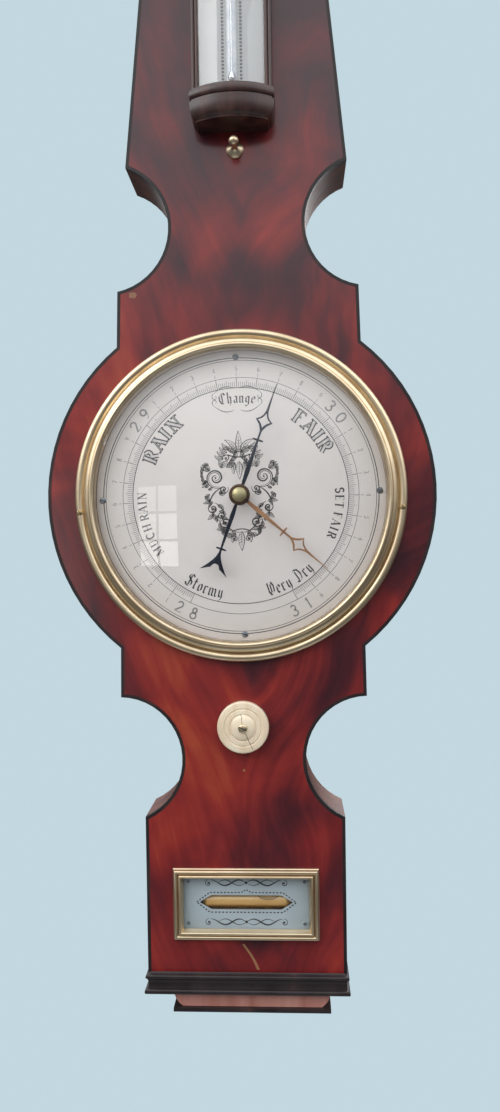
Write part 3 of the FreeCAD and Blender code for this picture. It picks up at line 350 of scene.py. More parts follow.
# Roman capitals and figures one unit high: how wide each is, and its thick (2) and thin (1)
# strokes.  Blackletter is drawn with one pen, so its strokes are plain lists of points.
STEM = (2, [(0.2, 0), (0.2, 1)])
BAR = (1, [(0.2, 0.52), (0.5, 0.52)])
ROMAN = {
    "A": (0.80, [(1, [(0.08, 0), (0.40, 1)]), (2, [(0.40, 1), (0.72, 0)]),
                 (1, [(0.2, 0.34), (0.6, 0.34)])]),
    "C": (0.80, [(2, bow(0.42, 0.5, 0.32, 0.48, 55, 305, 14)), (1, [(0.66, 0.96), (0.66, 0.72)])]),
    "E": (0.70, [STEM, (1, [(0.2, 1), (0.62, 1), (0.62, 0.84)]),
                 BAR, (1, [(0.2, 0), (0.62, 0), (0.62, 0.16)])]),
    "F": (0.68, [STEM, (1, [(0.2, 1), (0.62, 1), (0.62, 0.82)]),
                 BAR]),
    "H": (0.88, [STEM, (2, [(0.7, 0), (0.7, 1)]), (1, [(0.2, 0.5), (0.7, 0.5)])]),
    "I": (0.42, [STEM]),
    "M": (1.00, [(1, [(0.14, 0), (0.14, 1)]), (2, [(0.14, 1), (0.5, 0.1)]), (1, [(0.5, 0.1), (0.84, 1)]),
                 (2, [(0.84, 1), (0.84, 0)])]),
    "N": (0.88, [(1, [(0.16, 0), (0.16, 1)]), (2, [(0.16, 1), (0.7, 0)]), (1, [(0.7, 0), (0.7, 1)])]),
    "R": (0.82, [STEM, (1, [(0.2, 1), (0.42, 1)]), (1, [(0.2, 0.5), (0.42, 0.5)]),
                 (2, bow(0.42, 0.75, 0.2, 0.25, 90, -90)), (2, [(0.42, 0.5), (0.7, 0)])]),
    "S": (0.70, [(2, bow(0.36, 0.74, 0.22, 0.24, 40, 250)), (2, bow(0.36, 0.26, 0.24, 0.25, 90, -140)),
                 (1, [(0.55, 0.98), (0.55, 0.8)]), (1, [(0.15, 0.02), (0.15, 0.2)])]),
    "T": (0.74, [(2, [(0.36, 0), (0.36, 1)]), (1, [(0.06, 0.82), (0.06, 1), (0.66, 1), (0.66, 0.82)])]),
    "U": (0.84, [(2, [(0.2, 1), (0.2, 0.32)]), (1, bow(0.43, 0.32, 0.23, 0.32, 180, 360)),
                 (1, [(0.66, 0.32), (0.66, 1)])]),
    "0": (0.66, [(2, bow(0.3, 0.5, 0.22, 0.48, 90, 450, 18))]),
    "1": (0.50, [(2, [(0.25, 0), (0.25, 1)]), (1, [(0.25, 1), (0.1, 0.8)])]),
    "2": (0.64, [(2, bow(0.3, 0.72, 0.2, 0.26, 170, -40)), (2, [(0.45, 0.56), (0.1, 0.04)]),
                 (1, [(0.1, 0.04), (0.52, 0.04), (0.54, 0.2)])]),
    "3": (0.62, [(2, bow(0.28, 0.75, 0.18, 0.23, 150, -90)), (2, bow(0.28, 0.27, 0.22, 0.26, 90, -150))]),
    "4": (0.66, [(2, [(0.42, 0), (0.42, 1)]), (1, [(0.42, 1), (0.06, 0.28), (0.58, 0.28)])]),
    "5": (0.62, [(1, [(0.5, 0.98), (0.16, 0.98), (0.14, 0.56)]),
                 (2, bow(0.28, 0.31, 0.22, 0.29, 110, -150))]),
    "6": (0.64, [(2, bow(0.3, 0.28, 0.2, 0.27, 90, 450, 14)), (1, bow(0.46, 0.3, 0.36, 0.66, 180, 100))]),
    "7": (0.60, [(1, [(0.08, 0.82), (0.1, 0.98), (0.52, 0.98)]), (2, [(0.52, 0.98), (0.22, 0)])]),
    "8": (0.64, [(2, bow(0.3, 0.76, 0.16, 0.22, 90, 450, 14)),
                 (2, bow(0.3, 0.27, 0.21, 0.26, 90, 450, 14))]),
    "9": (0.64, [(2, bow(0.3, 0.7, 0.2, 0.27, 90, 450, 14)), (1, bow(0.14, 0.7, 0.36, 0.68, 0, -80))]),
}
MINIM = [(0.0, 0.52), (0.08, 0.6), (0.08, 0.06), (0.16, 0.0)]
ARCH = [(0.08, 0.48), (0.22, 0.6), (0.32, 0.52), (0.32, 0.06), (0.4, 0.0)]
BLACKLETTER = {
    "C": (0.66, [[(0.6, 0.78), (0.5, 0.96), (0.3, 0.94), (0.12, 0.74), (0.1, 0.34), (0.24, 0.08),
                  (0.42, 0.0), (0.6, 0.14)], [(0.34, 0.86), (0.34, 0.14)]]),
    "D": (0.70, [[(0.04, 0.84), (0.2, 1.0), (0.5, 0.9), (0.6, 0.5), (0.5, 0.12), (0.24, 0.0), (0.06, 0.1)],
                 [(0.24, 0.86), (0.24, 0.1)]]),
    "S": (0.66, [[(0.58, 0.84), (0.42, 1.0), (0.2, 0.92), (0.14, 0.72), (0.32, 0.56), (0.54, 0.42),
                  (0.56, 0.18), (0.4, 0.0), (0.18, 0.04), (0.06, 0.2)], [(0.34, 0.9), (0.34, 0.1)]]),
    "V": (0.68, [[(0.02, 0.86), (0.14, 1.0), (0.16, 0.3), (0.32, 0.0), (0.56, 0.22), (0.6, 0.7),
                  (0.46, 1.0)],
                 [(0.36, 0.86), (0.36, 0.2)]]),
    "a": (0.44, [[(0.08, 0.5), (0.2, 0.6), (0.32, 0.52), (0.32, 0.06), (0.4, 0.0)],
                 [(0.32, 0.34), (0.1, 0.24), (0.1, 0.08), (0.2, 0.0), (0.32, 0.1)]]),
    "e": (0.40, [[(0.1, 0.28), (0.32, 0.4), (0.3, 0.54), (0.2, 0.6), (0.08, 0.5), (0.08, 0.12),
                  (0.2, 0.0), (0.34, 0.1)]]),
    "g": (0.44, [[(0.32, 0.54), (0.2, 0.6), (0.08, 0.5), (0.08, 0.14), (0.18, 0.04), (0.32, 0.14)],
                 [(0.32, 0.6), (0.32, -0.16), (0.2, -0.3), (0.04, -0.22)]]),
    "h": (0.46, [[(0.02, 0.92), (0.1, 1.0), (0.1, 0.06), (0.18, 0.0)],
                 [(0.1, 0.48), (0.24, 0.6), (0.34, 0.5), (0.34, 0.0), (0.22, -0.2)]]),
    "m": (0.70, [MINIM, ARCH, [(0.32, 0.48), (0.46, 0.6), (0.56, 0.52), (0.56, 0.06), (0.64, 0.0)]]),
    "n": (0.46, [MINIM, ARCH]),
    "o": (0.42, [[(0.2, 0.6), (0.08, 0.5), (0.08, 0.1), (0.2, 0.0), (0.32, 0.1), (0.32, 0.5), (0.2, 0.6)]]),
    "r": (0.36, [MINIM, [(0.08, 0.46), (0.2, 0.6), (0.3, 0.54)]]),
    "t": (0.32, [[(0.1, 0.84), (0.1, 0.08), (0.18, 0.0), (0.28, 0.08)], [(0.0, 0.6), (0.26, 0.6)]]),
    "y": (0.44, [[(0.02, 0.54), (0.1, 0.6), (0.1, 0.12), (0.2, 0.04), (0.32, 0.14)],
                 [(0.32, 0.6), (0.32, 0.0), (0.22, -0.2), (0.04, -0.3)]]),
    " ": (0.24, []),
}
PEN_EDGE = (0.115, 0.085)


def round_text(radius, angle, inwards=False):
    """Bends flat text onto a circle of the dial, tops outwards or towards the centre."""
    side = -1 if inwards else 1

    def warp(x, y):
        turn = math.radians(angle) + side * x / radius
        reach = radius + side * y
        return reach * math.sin(turn), reach * math.cos(turn)
    return warp


def text_width(word, font, size, gap, spread=1.0):
    return sum(font[letter][0] * size * spread + gap for letter in word) - gap


def roman(ink, word, size, gap, warp, thick, thin, serif=0.14, spread=1.0):
    """Roman capitals or figures with flat serifs, centred on the middle of the word."""
    x = -text_width(word, ROMAN, size, gap, spread) / 2
    for letter in word:
        width, strokes = ROMAN[letter]
        for weight, points in strokes:
            line = [(x + px * size * spread, py * size) for px, py in points]
            ink.ribbon(line, thick if weight == 2 else thin, warp)
            if len(points) > 2 or letter.isdigit():
                continue
            for px, py in points:
                if py in (0, 1) and abs(points[0][1] - points[1][1]) > 0.5:
                    cx, cy = x + px * size * spread, py * size
                    ink.ribbon([(cx - serif * size, cy), (cx + serif * size, cy)], thin, warp)
        x += width * size * spread + gap


def blackletter(ink, word, size, gap, warp):
    x = -text_width(word, BLACKLETTER, size, gap) / 2
    nib = (PEN_EDGE[0] * size, PEN_EDGE[1] * size)
    for letter in word:
        width, strokes = BLACKLETTER[letter]
        for points in strokes:
            ink.pen([(x + px * size, py * size) for px, py in points], nib, warp)
        x += width * size + gap


def curl(x, y, heading, length, bend, steps=16):
    """A line that starts at a point and heading (degrees) and curls ever more tightly."""
    points = [(x, y)]
    angle = math.radians(heading)
    for i in range(steps):
        angle += math.radians(bend) * (0.3 + 1.4 * i / steps) / steps
        x += length / steps * math.cos(angle)
        y += length / steps * math.sin(angle)
        points.append((x, y))
    return points


def volute(ink, x, y, reach, start, turns, width, sign=1):
    """A spiral that winds in from the angle where it starts, thick in the middle of its run."""
    steps = int(26 * abs(turns))
    points = []
    for i in range(steps + 1):
        t = i / steps
        a = math.radians(start + 360 * turns * t)
        r = reach * (1 - 0.84 * t ** 0.8)
        points.append((sign * (x + r * math.cos(a)), y + r * math.sin(a)))
    ink.ribbon(points, width, end_width=0.25)
    ink.dot(sign * x, y, 0.7)


def leaf(ink, x, y, heading, length, width, bend, sign=1):
    """A pointed leaf drawn with two outlines, a vein and a few hatched strokes."""
    spine = curl(x, y, heading, length, bend, 8)
    outlines = {1: [], -1: []}
    for i, (px, py) in enumerate(spine):
        ahead, behind = spine[min(i + 1, 8)], spine[max(i - 1, 0)]
        dx, dy = ahead[0] - behind[0], ahead[1] - behind[1]
        span = math.hypot(dx, dy)
        swell = width / 2 * math.sin(math.pi * (i / 8) ** 0.75) / span
        for side in (1, -1):
            outlines[side].append((sign * (px - dy * swell * side), py + dx * swell * side))
    vein = mirrored(spine, sign)
    ink.ribbon(vein[:7], 0.3)
    for side in (1, -1):
        ink.ribbon(outlines[side], 0.5 if side * sign > 0 else 0.28)
        for i in (2, 3, 4, 5):
            ink.ribbon([vein[i - 1], outlines[side][i]], 0.22)


# The right half of the ornament, in mm and degrees.  Volutes: centre, reach, start, turns and
# width.  Scrolls: start, heading, length, bend and width.  Sprays: a point and the leaves that
# fan out from it, each with a heading, length, width and bend.
VOLUTES = (
    (16.2, 12.5, 7.6, -125, 1.7, 1.1), (16.2, 12.5, 6.5, -110, 1.2, 0.5), (18.6, -8.2, 4.0, 100, -1.5, 0.9),
    (10.4, -17.6, 4.6, 60, -1.6, 0.9), (8.6, 25.6, 3.2, -60, 1.4, 0.7), (11.0, 4.6, 3.4, 150, 1.5, 0.8),
    (13.4, -13.2, 2.8, 200, -1.4, 0.7), (4.6, -29.0, 2.4, 20, 1.3, 0.6))
SCROLLS = ((11.8, 6.4, -28, 17, -75, 0.9), (17.2, -4.2, -150, 16, 120, 0.8),
           (12.8, -13.8, -110, 17, -70, 0.7))
MIDDLE_LEAVES = ((29.0, 90, 14.5, 4.0), (23.0, -90, 12.0, 4.2), (-24.0, -90, 13.0, 4.2))
SPRAYS = (
    (20.0, 17.6, [(62, 5.5, 2.4, -40), (20, 5.0, 2.2, -40)]),
    (22.4, 10.8, [(-20, 4.2, 2.0, -50), (-70, 5.6, 2.2, 40)]),
    (12.0, 19.0, [(118, 6.5, 2.6, 40), (84, 6.0, 2.4, -30)]),
    (20.8, -2.6, [(60, 4.6, 2.0, -50), (-36, 4.6, 2.0, 40)]),
    (18.8, -11.6, [(-60, 5.2, 2.2, 40), (-110, 6.2, 2.4, -40)]),
    (12.0, -20.8, [(-34, 4.8, 2.2, 50), (-82, 5.6, 2.4, -40)]),
    (4.0, -25.0, [(-52, 7.0, 3.0, -50), (-18, 6.0, 2.4, -40)]),
    (1.0, 29.0, [(66, 12.5, 3.4, -50), (38, 11.0, 3.0, -60), (12, 9.0, 2.6, 50)]),
    (3.0, 22.5, [(-40, 7.0, 2.8, 40), (-72, 8.0, 2.8, -30)]),
    (14.2, 2.0, [(150, 4.6, 2.0, 60), (205, 4.4, 2.0, -50)]))


def ornament(ink):
    """A scrolled cartouche of no maker's: mirrored volutes and leaves round a plain middle,
    a leafy crown above and a drop below."""
    for sign in (1, -1):
        for x, y, reach, start, turns, width in VOLUTES:
            volute(ink, x, y, reach, start, turns, width, sign)
        for x, y, heading, length, bend, width in SCROLLS:
            ink.ribbon(mirrored(curl(x, y, heading, length, bend), sign), width, end_width=0.3)
        for x, y, leaves in SPRAYS:
            for heading, length, width, bend in leaves:
                leaf(ink, x, y, heading, length, width, bend, sign)
        for turn in range(9):
            heading = 118 + 15 * turn
            px, py = arc(16.4, 12.6, 9.4, 180 - heading, 0, 1)[0]
            leaf(ink, px, py, heading - 70, 3.4, 1.6, -50, sign)
        for step in range(6):
            leaf(ink, 15.4 - 0.9 * step, -6.0 - 4.2 * step, 196 - 9 * step, 5.2, 2.2, 60, sign)
            leaf(ink, 20.6 - 1.6 * step, 1.6 - 4.8 * step, -30 - 12 * step, 4.8, 2.0, -50, sign)
        for step in range(4):
            leaf(ink, 8.4 - 1.9 * step, 20.0 + 1.6 * step, 150 - 12 * step, 5.6, 2.4, -60, sign)
            leaf(ink, 6.6 + 1.3 * step, 31.5 - 2.0 * step, 20 - 8 * step, 6.4, 2.4, 60, sign)
    for y, heading, length, width in MIDDLE_LEAVES:
        leaf(ink, 0, y, heading, length, width, 0)
    ink.ribbon([(-7.5 + i, 26.0 + 0.03 * (i - 7.5) ** 2) for i in range(16)], 0.8)
    ink.ribbon([(-6.5 + i, -22.4 - 0.04 * (i - 6.5) ** 2) for i in range(14)], 0.7)


# ---------------------------------------------------------------- shader graphs

class Graph:
    """A material and its node tree, with short calls for the nodes that finishes share."""

    def __init__(self, name, **sockets):
        self.material = bpy.data.materials.new(name)
        self.material.use_nodes = True
        self.tree = self.material.node_tree
        self.shader = self.tree.nodes["Principled BSDF"]
        for socket, amount in sockets.items():
            self.shader.inputs[socket.replace("_", " ")].default_value = amount

    def add(self, kind, wires=(), **settings):
        made = self.tree.nodes.new("ShaderNode" + kind)
        for key, setting in settings.items():
            setattr(made, key, setting)
        for key, source in wires:
            self.wire(made.inputs[key], source)
        return made

    def wire(self, socket, source):
        if isinstance(source, bpy.types.NodeSocket):
            self.tree.links.new(source, socket)
        else:
            socket.default_value = source

    def to_shader(self, socket, source):
        self.wire(self.shader.inputs[socket], source)

    def coords(self):
        return self.add("TexCoord").outputs["Object"]

    def axes(self):
        split = self.add("SeparateXYZ", [("Vector", self.coords())])
        return [split.outputs[axis] for axis in "XYZ"]

    def point(self, x, y, z):
        return self.add("CombineXYZ", [("X", x), ("Y", y), ("Z", z)]).outputs["Vector"]

    def stretched(self, x, y, z):
        return self.add("Mapping", [("Vector", self.coords()), ("Scale", (x, y, z))]).outputs["Vector"]

    def noise(self, where, detail=3.0, distortion=0.0):
        wires = [("Vector", where), ("Scale", 1.0), ("Detail", detail), ("Distortion", distortion)]
        return self.add("TexNoise", wires).outputs["Fac"]

    def maths(self, operation, a, b=0.0, c=0.0):
        wires = [(0, a), (1, b), (2, c)]
        return self.add("Math", wires, operation=operation).outputs[0]

    def plus(self, a, b):
        return self.maths("ADD", a, b)

    def times(self, a, b, offset=0.0):
        return self.maths("MULTIPLY_ADD", a, b, offset)

    def cloud(self, scale, detail=3.0):
        """Noise that is the same in every direction."""
        return self.noise(self.stretched(scale, scale, scale), detail)

    def figure(self, across, up, scale, climb, detail, distortion=0.0):
        """Noise that runs with the grain: a value across it, and the height up it."""
        where = self.point(self.times(across, scale), 0.0, self.times(up, climb))
        return self.noise(where, detail, distortion)

    def ramp(self, fac, stops):
        made = self.add("ValToRGB", [("Fac", fac)])
        line = made.color_ramp
        while len(line.elements) < len(stops):
            line.elements.new(0.5)
        for element, (at, colour) in zip(line.elements, stops):
            element.position = at
            element.color = (*colour, 1.0) if isinstance(colour, tuple) else (colour,) * 3 + (1.0,)
        return made.outputs["Color"]

    def mix(self, fac, a, b, blend="MIX"):
        made = self.add("Mix", data_type="RGBA", blend_type=blend)
        for index, source in ((0, fac), (6, a), (7, b)):
            if isinstance(source, tuple):
                source = (*source, 1.0)
            self.wire(made.inputs[index], source)
        return made.outputs[2]

    def bump(self, height, distance, strength=1.0):
        wires = [("Height", height), ("Distance", distance), ("Strength", strength)]
        self.to_shader("Normal", self.add("Bump", wires).outputs["Normal"])

    def line_mask(self, across, up, start, end, half):
        """1 on a stretch of a straight line through two points in metres, 0 elsewhere."""
        lean = (end[0] - start[0]) / (end[1] - start[1])
        offset = self.times(up, -lean, start[1] * lean - start[0])
        gap = self.maths("ABSOLUTE", self.plus(across, offset))
        near = self.maths("LESS_THAN", gap, half)
        above = self.maths("GREATER_THAN", up, min(start[1], end[1]))
        below = self.maths("LESS_THAN", up, max(start[1], end[1]))
        return self.times(near, self.times(above, below))


# Marks on the veneer, in metres from the dial's centre: the plug below the knob and the chip on
# the left shoulder as (x, up, radius, how ragged), and the two ends of the crack as (x, up).
PLUG, CHIP = (0.0, -0.184, 0.0009, 0.0), (-0.0705, 0.1365, 0.0020, 1.0)
CRACK = ((-0.012, -0.300), (0.003, -0.317))


def flame_veneer():
    """Crotch mahogany: a mirrored figure that fans upwards from the middle line, fine
    streaks, open pores and a French polish, with painted shade that darkens it above the dial and towards
    the right."""
    g = Graph("flame_mahogany", Specular_IOR_Level=0.28, Coat_Weight=0.6, Coat_Roughness=0.16)
    x, _, z = g.axes()
    drift = g.cloud(7, 2.0)
    wander = g.times(drift, 0.10, -0.05)
    side = g.maths("ABSOLUTE", g.plus(x, g.times(wander, 0.55)))
    fan = g.plus(g.times(z, -0.34, side), wander)
    figure = g.figure(fan, z, 17.0, 10.0, 2.5, 0.8)
    streak = g.figure(fan, z, 150.0, 13.0, 4.0, 0.3)
    blotch = g.noise(g.stretched(17, 1, 13), 3.0, 0.6)
    tone = g.times(streak, 0.17, g.times(figure, 0.60))
    tone = g.plus(tone, g.times(blotch, 0.55, -0.162))
    # Painted shade: the veneer is drawn darker above the dial, more so higher up, and darker towards its
    # right-hand side.
    above = g.maths("MAXIMUM", g.maths("SUBTRACT", z, DIAL.z + 0.06), 0.0)
    painted_shade_above = g.maths("MINIMUM", g.times(above, 0.5), 0.085)
    tone = g.maths("SUBTRACT", tone, g.times(x, 0.30, painted_shade_above))
    colour = g.ramp(tone, [(0.34, (0.044, 0.008, 0.013)), (0.42, (0.088, 0.010, 0.014)),
                           (0.51, (0.170, 0.014, 0.015)), (0.60, (0.262, 0.023, 0.018)),
                           (0.72, (0.37, 0.058, 0.025))])
    pores = g.figure(fan, z, 1500.0, 70.0, 2.0)
    colour = g.mix(g.ramp(pores, [(0.24, 0.6), (0.36, 0.0)]), colour, (0.02, 0.006, 0.006))
    start, end = ((across, DIAL.z + up) for across, up in CRACK)
    crack = g.line_mask(g.plus(x, wander), z, start, end, 0.0009)
    marks = g.times(crack, 0.5)
    ragged = g.times(g.cloud(500), 0.004, -0.002)
    for shift, up, radius, rough in (PLUG, CHIP):
        off = g.times(ragged, rough, g.maths("SUBTRACT", x, shift))
        across = g.times(g.maths("POWER", off, 2.0), 1.0 - 0.5 * rough)
        along = g.maths("POWER", g.maths("SUBTRACT", z, DIAL.z + up), 2.0)
        spot = g.maths("LESS_THAN", g.plus(across, along), radius ** 2)
        marks = g.maths("MAXIMUM", marks, g.times(spot, 0.42))
    colour = g.mix(marks, colour, (0.42, 0.26, 0.12))
    g.to_shader("Base Color", colour)
    g.to_shader("Roughness", g.ramp(streak, [(0.3, 0.30), (0.7, 0.42)]))
    waves = g.noise(g.stretched(30, 30, 18), 2.0)
    g.bump(g.times(pores, 0.15, waves), 0.0002, 0.5)
    return g.material


def plain_wood(name, dark, middle, light, roughness, coat=0.0, grain=120.0):
    """Straight grain that runs up the case."""
    g = Graph(name, Coat_Weight=coat, Coat_Roughness=0.22)
    figure = g.noise(g.stretched(grain, grain, 6), 4.0, 0.4)
    g.to_shader("Base Color", g.ramp(figure, [(0.32, dark), (0.5, middle), (0.7, light)]))
    g.to_shader("Roughness", g.ramp(figure, [(0.3, roughness - 0.06), (0.7, roughness + 0.08)]))
    pores = g.noise(g.stretched(900, 900, 40), 2.0)
    g.bump(g.plus(figure, pores), 0.0002, 0.4)
    return g.material


def ebonised():
    """Black stained wood, rubbed brown here and there along its edges."""
    g = Graph("ebonised_wood", Specular_IOR_Level=0.3, Coat_Weight=0.12, Coat_Roughness=0.3)
    worn = g.noise(g.stretched(60, 60, 22), 4.0)
    colour = g.ramp(worn, [(0.35, (0.014, 0.010, 0.011)), (0.6, (0.026, 0.017, 0.018)),
                           (0.74, (0.060, 0.030, 0.026))])
    g.to_shader("Base Color", colour)
    g.to_shader("Roughness", g.ramp(worn, [(0.3, 0.34), (0.7, 0.5)]))
    g.bump(g.noise(g.stretched(500, 500, 40), 3.0), 0.0002, 0.4)
    return g.material


def metal(name, bright, dull, roughness, grain=(300, 300, 300), tarnish=0.62, depth=0.00005):
    """Polished metal with faint scratches and duller patches."""
    g = Graph(name, Metallic=1.0)
    patches = g.cloud(45, 4.0)
    g.to_shader("Base Color", g.ramp(patches, [(0.4, bright), (tarnish, dull)]))
    fine = g.noise(g.stretched(*grain), 3.0)
    rough = g.times(fine, 0.12, g.times(patches, 0.16, roughness - 0.14))
    g.to_shader("Roughness", rough)
    g.bump(fine, depth, 0.5)
    return g.material


def silvered(name, clean, stained, metallic, roughness, centre, radius):
    """Silvered brass under lacquer: a grainy satin that yellows towards the rim."""
    g = Graph(name, Metallic=metallic, Coat_Weight=0.15, Coat_Roughness=0.25)
    x, _, z = g.axes()
    across = g.maths("POWER", g.plus(x, -centre.x), 2.0)
    up = g.maths("POWER", g.plus(z, -centre.z), 2.0)
    reach = g.maths("DIVIDE", g.maths("SQRT", g.plus(across, up)), radius * MM)
    cloud = g.cloud(26, 4.0)
    age = g.plus(g.times(g.maths("POWER", reach, 6.0), 0.30), g.times(cloud, 0.5, -0.12))
    speck = g.cloud(420, 2.0)
    colour = g.ramp(age, [(0.05, clean), (0.5, stained)])
    dots = g.ramp(speck, [(0.22, 0.35), (0.30, 0.0)])
    g.to_shader("Base Color", g.mix(dots, colour, (0.30, 0.27, 0.24)))
    g.to_shader("Roughness", g.times(cloud, 0.12, roughness - 0.06))
    g.bump(g.cloud(1400, 2.0), 0.00004, 0.35)
    return g.material


def glass(name):
    """Clear glass that lets the lamps' light straight through to what lies behind it."""
    g = Graph(name, Transmission_Weight=1.0, IOR=1.45, Roughness=0.015)
    g.to_shader("Base Color", (1.0, 1.0, 1.0, 1.0))
    g.bump(g.cloud(22, 2.0), 0.0001, 0.25)
    output = g.tree.nodes["Material Output"]
    clear = g.add("BsdfTransparent", [("Color", (1.0, 1.0, 1.0, 1.0))])
    path = g.add("LightPath")
    both = g.add("MixShader", [(0, path.outputs["Is Shadow Ray"]), (1, g.shader.outputs[0]),
                               (2, clear.outputs[0])])
    g.wire(output.inputs["Surface"], both.outputs[0])
    return g.material


def bone():
    """Turned bone: cream, faintly streaked, with dirt in the fine lines and a hair crack."""
    g = Graph("turned_bone", Coat_Weight=0.3, Coat_Roughness=0.15, Subsurface_Weight=0.08,
              Subsurface_Scale=0.002)
    x, _, z = g.axes()
    grain = g.noise(g.stretched(160, 160, 40), 4.0, 0.3)
    colour = g.ramp(grain, [(0.3, (0.72, 0.57, 0.39)), (0.55, (0.84, 0.70, 0.52)),
                            (0.75, (0.88, 0.77, 0.60))])
    jitter = g.times(g.cloud(400), 0.0016, -0.0008)
    down = g.line_mask(g.plus(x, jitter), z, (KNOB.x, KNOB.z), (0.0065, KNOB.z - 0.0145), 0.00022)
    up = g.line_mask(g.plus(x, jitter), z, (KNOB.x, KNOB.z), (-0.0012, KNOB.z + 0.009), 0.00016)
    g.to_shader("Base Color", g.mix(g.maths("MAXIMUM", down, up), colour, (0.20, 0.12, 0.06)))
    g.to_shader("Roughness", g.ramp(grain, [(0.3, 0.30), (0.7, 0.42)]))
    g.bump(grain, 0.0001, 0.3)
    return g.material


def amber_spirit():
    g = Graph("amber_spirit", Roughness=0.12, Coat_Weight=0.6, Coat_Roughness=0.05,
              Transmission_Weight=0.25)
    z = g.axes()[2]
    # Painted shading: the spirit is drawn paler towards its top and deeper orange towards its bottom, with a
    # little random haze over it.
    depth = g.times(z, 90.0, -90.0 * LEVEL.z + 0.5)
    haze_and_painted_shading = g.times(g.noise(g.stretched(90, 90, 200)), 0.3, depth)
    colour = g.ramp(haze_and_painted_shading, [(0.1, (0.52, 0.24, 0.05)), (0.45, (0.86, 0.47, 0.11)),
                           (0.95, (0.92, 0.66, 0.30))])
    g.to_shader("Base Color", colour)
    return g.material


def mottled(name, dark, light, scale, roughness, bump=0.0002, **sockets):
    """A matt stuff whose colour wanders between two tones: wax, cord, cork or mercury."""
    g = Graph(name, **sockets)
    cloud = g.cloud(scale, 4.0)
    g.to_shader("Base Color", g.ramp(cloud, [(0.35, dark), (0.68, light)]))
    g.to_shader("Roughness", g.times(cloud, 0.2, roughness - 0.1))
    g.bump(cloud, bump, 0.5)
    return g.material


VENEER = flame_veneer()
MAHOGANY = plain_wood("straight_mahogany", (0.050, 0.014, 0.010), (0.105, 0.030, 0.019),
                      (0.170, 0.056, 0.032), 0.50, coat=0.08)
PALE_MAHOGANY = plain_wood("faded_mahogany", (0.36, 0.140, 0.105), (0.46, 0.205, 0.165),
                           (0.56, 0.285, 0.225), 0.46, coat=0.2, grain=70.0)
STAINED = plain_wood("stained_mahogany", (0.026, 0.011, 0.009), (0.050, 0.020, 0.016),
                     (0.090, 0.036, 0.026), 0.42, coat=0.12)
PINE = plain_wood("old_pine", (0.21, 0.115, 0.050), (0.36, 0.22, 0.11), (0.46, 0.31, 0.17), 0.62)
EBONISED = ebonised()
BRASS = metal("polished_brass", (0.74, 0.60, 0.41), (0.60, 0.46, 0.30), 0.36, (90, 90, 90), 0.7, 0.0)
DULL_BRASS = metal("dull_brass", (0.50, 0.36, 0.17), (0.26, 0.18, 0.09), 0.38)
BRONZE = metal("dark_bronze", (0.120, 0.075, 0.045), (0.060, 0.036, 0.024), 0.36)
BUTTON_BRASS = metal("greenish_brass", (0.46, 0.42, 0.24), (0.34, 0.29, 0.16), 0.42)
COPPERY = metal("coppery_brass", (0.62, 0.36, 0.20), (0.40, 0.21, 0.12), 0.34)
BLUED = metal("blued_steel", (0.045, 0.050, 0.075), (0.020, 0.021, 0.030), 0.30)
STEEL = metal("grey_steel", (0.30, 0.32, 0.36), (0.14, 0.15, 0.17), 0.36)
SILVERED_DIAL = silvered("silvered_dial", (0.70, 0.66, 0.64), (0.60, 0.55, 0.51), 0.22, 0.44, DIAL, 97.5)
SILVERED_SCALE = silvered("silvered_scale", (0.37, 0.38, 0.38), (0.32, 0.31, 0.29), 0.15, 0.5, THERMO, 260.0)
SILVERED_LEVEL = silvered("silvered_level", (0.44, 0.52, 0.56), (0.27, 0.31, 0.30), 0.25, 0.42, LEVEL, 52.0)
WAX = mottled("engraving_wax", (0.016, 0.015, 0.017), (0.05, 0.048, 0.05), 700.0, 0.6)
FADED_WAX = mottled("faded_wax", (0.17, 0.165, 0.165), (0.26, 0.255, 0.25), 700.0, 0.6)
LETTER_SILVER = mottled("letter_silver", (0.50, 0.47, 0.46), (0.64, 0.61, 0.59), 500.0, 0.5, Metallic=0.2)
CORD = mottled("linen_cord", (0.22, 0.17, 0.10), (0.40, 0.33, 0.22), 900.0, 0.85, 0.0004)
CORK = mottled("cork", (0.20, 0.11, 0.05), (0.42, 0.27, 0.14), 420.0, 0.85, 0.0006)
MERCURY = mottled("mercury", (0.60, 0.61, 0.63), (0.72, 0.73, 0.75), 120.0, 0.16, 0.00005, Metallic=1.0)
WHITE_ENAMEL = mottled("white_enamel", (0.62, 0.66, 0.72), (0.78, 0.80, 0.84), 160.0, 0.3, Coat_Weight=0.5)
GLASS = glass("clear_glass")
SPIRIT = amber_spirit()
BONE = bone()

CAD_FINISHES = {
    VENEER: ("front_veneer",),
    MAHOGANY: ("side_veneer", "pediment_board", "back_door"),
    PALE_MAHOGANY: ("base_block",),
    PINE: ("carcass", "lower_back_panel"),
    EBONISED: ("ebony_edging", "base_fillet", "pediment_rakes"),
    STAINED: ("thermo_backboard",),
    BRASS: ("thermo_clips",),
    BUTTON_BRASS: ("hand_cap",),
    DULL_BRASS: ("hanging_plate", "movement_bridge", "movement_front_plate", "hand_arbor", "set_hand_tube",
                 "knob_spindle", "knob_bush", "dial_bush", "case_hinge_leaves", "door_hinge_leaves",
                 "door_button", "tube_straps", "float", "counterweight", "bezel_screws"),
    STEEL: ("dial_screws", "back_screws", "keeper_screws", "level_pins"),
    SILVERED_DIAL: ("dial_plate",),
    SILVERED_SCALE: ("thermo_scale",),
    SILVERED_LEVEL: ("level_plate",),
    MERCURY: ("mercury_column", "mercury_short_column"),
    GLASS: ("siphon_tube", "counterweight_tube", "level_glass"),
    CORD: ("setting_cord", "silk_thread"),
    CORK: ("tube_packing",),
}
for finish, names in CAD_FINISHES.items():
    for cad_name in names:
        mesh = NODES[cad_name].data
        for index in range(max(1, len(mesh.materials))):
            if len(mesh.materials) == 0:
                mesh.materials.append(finish)
            NODES[cad_name].material_slots[index].material = finish


# ---------------------------------------------------------------- dial

FIRST_MARK, PER_INCH = -153.0, 102.0


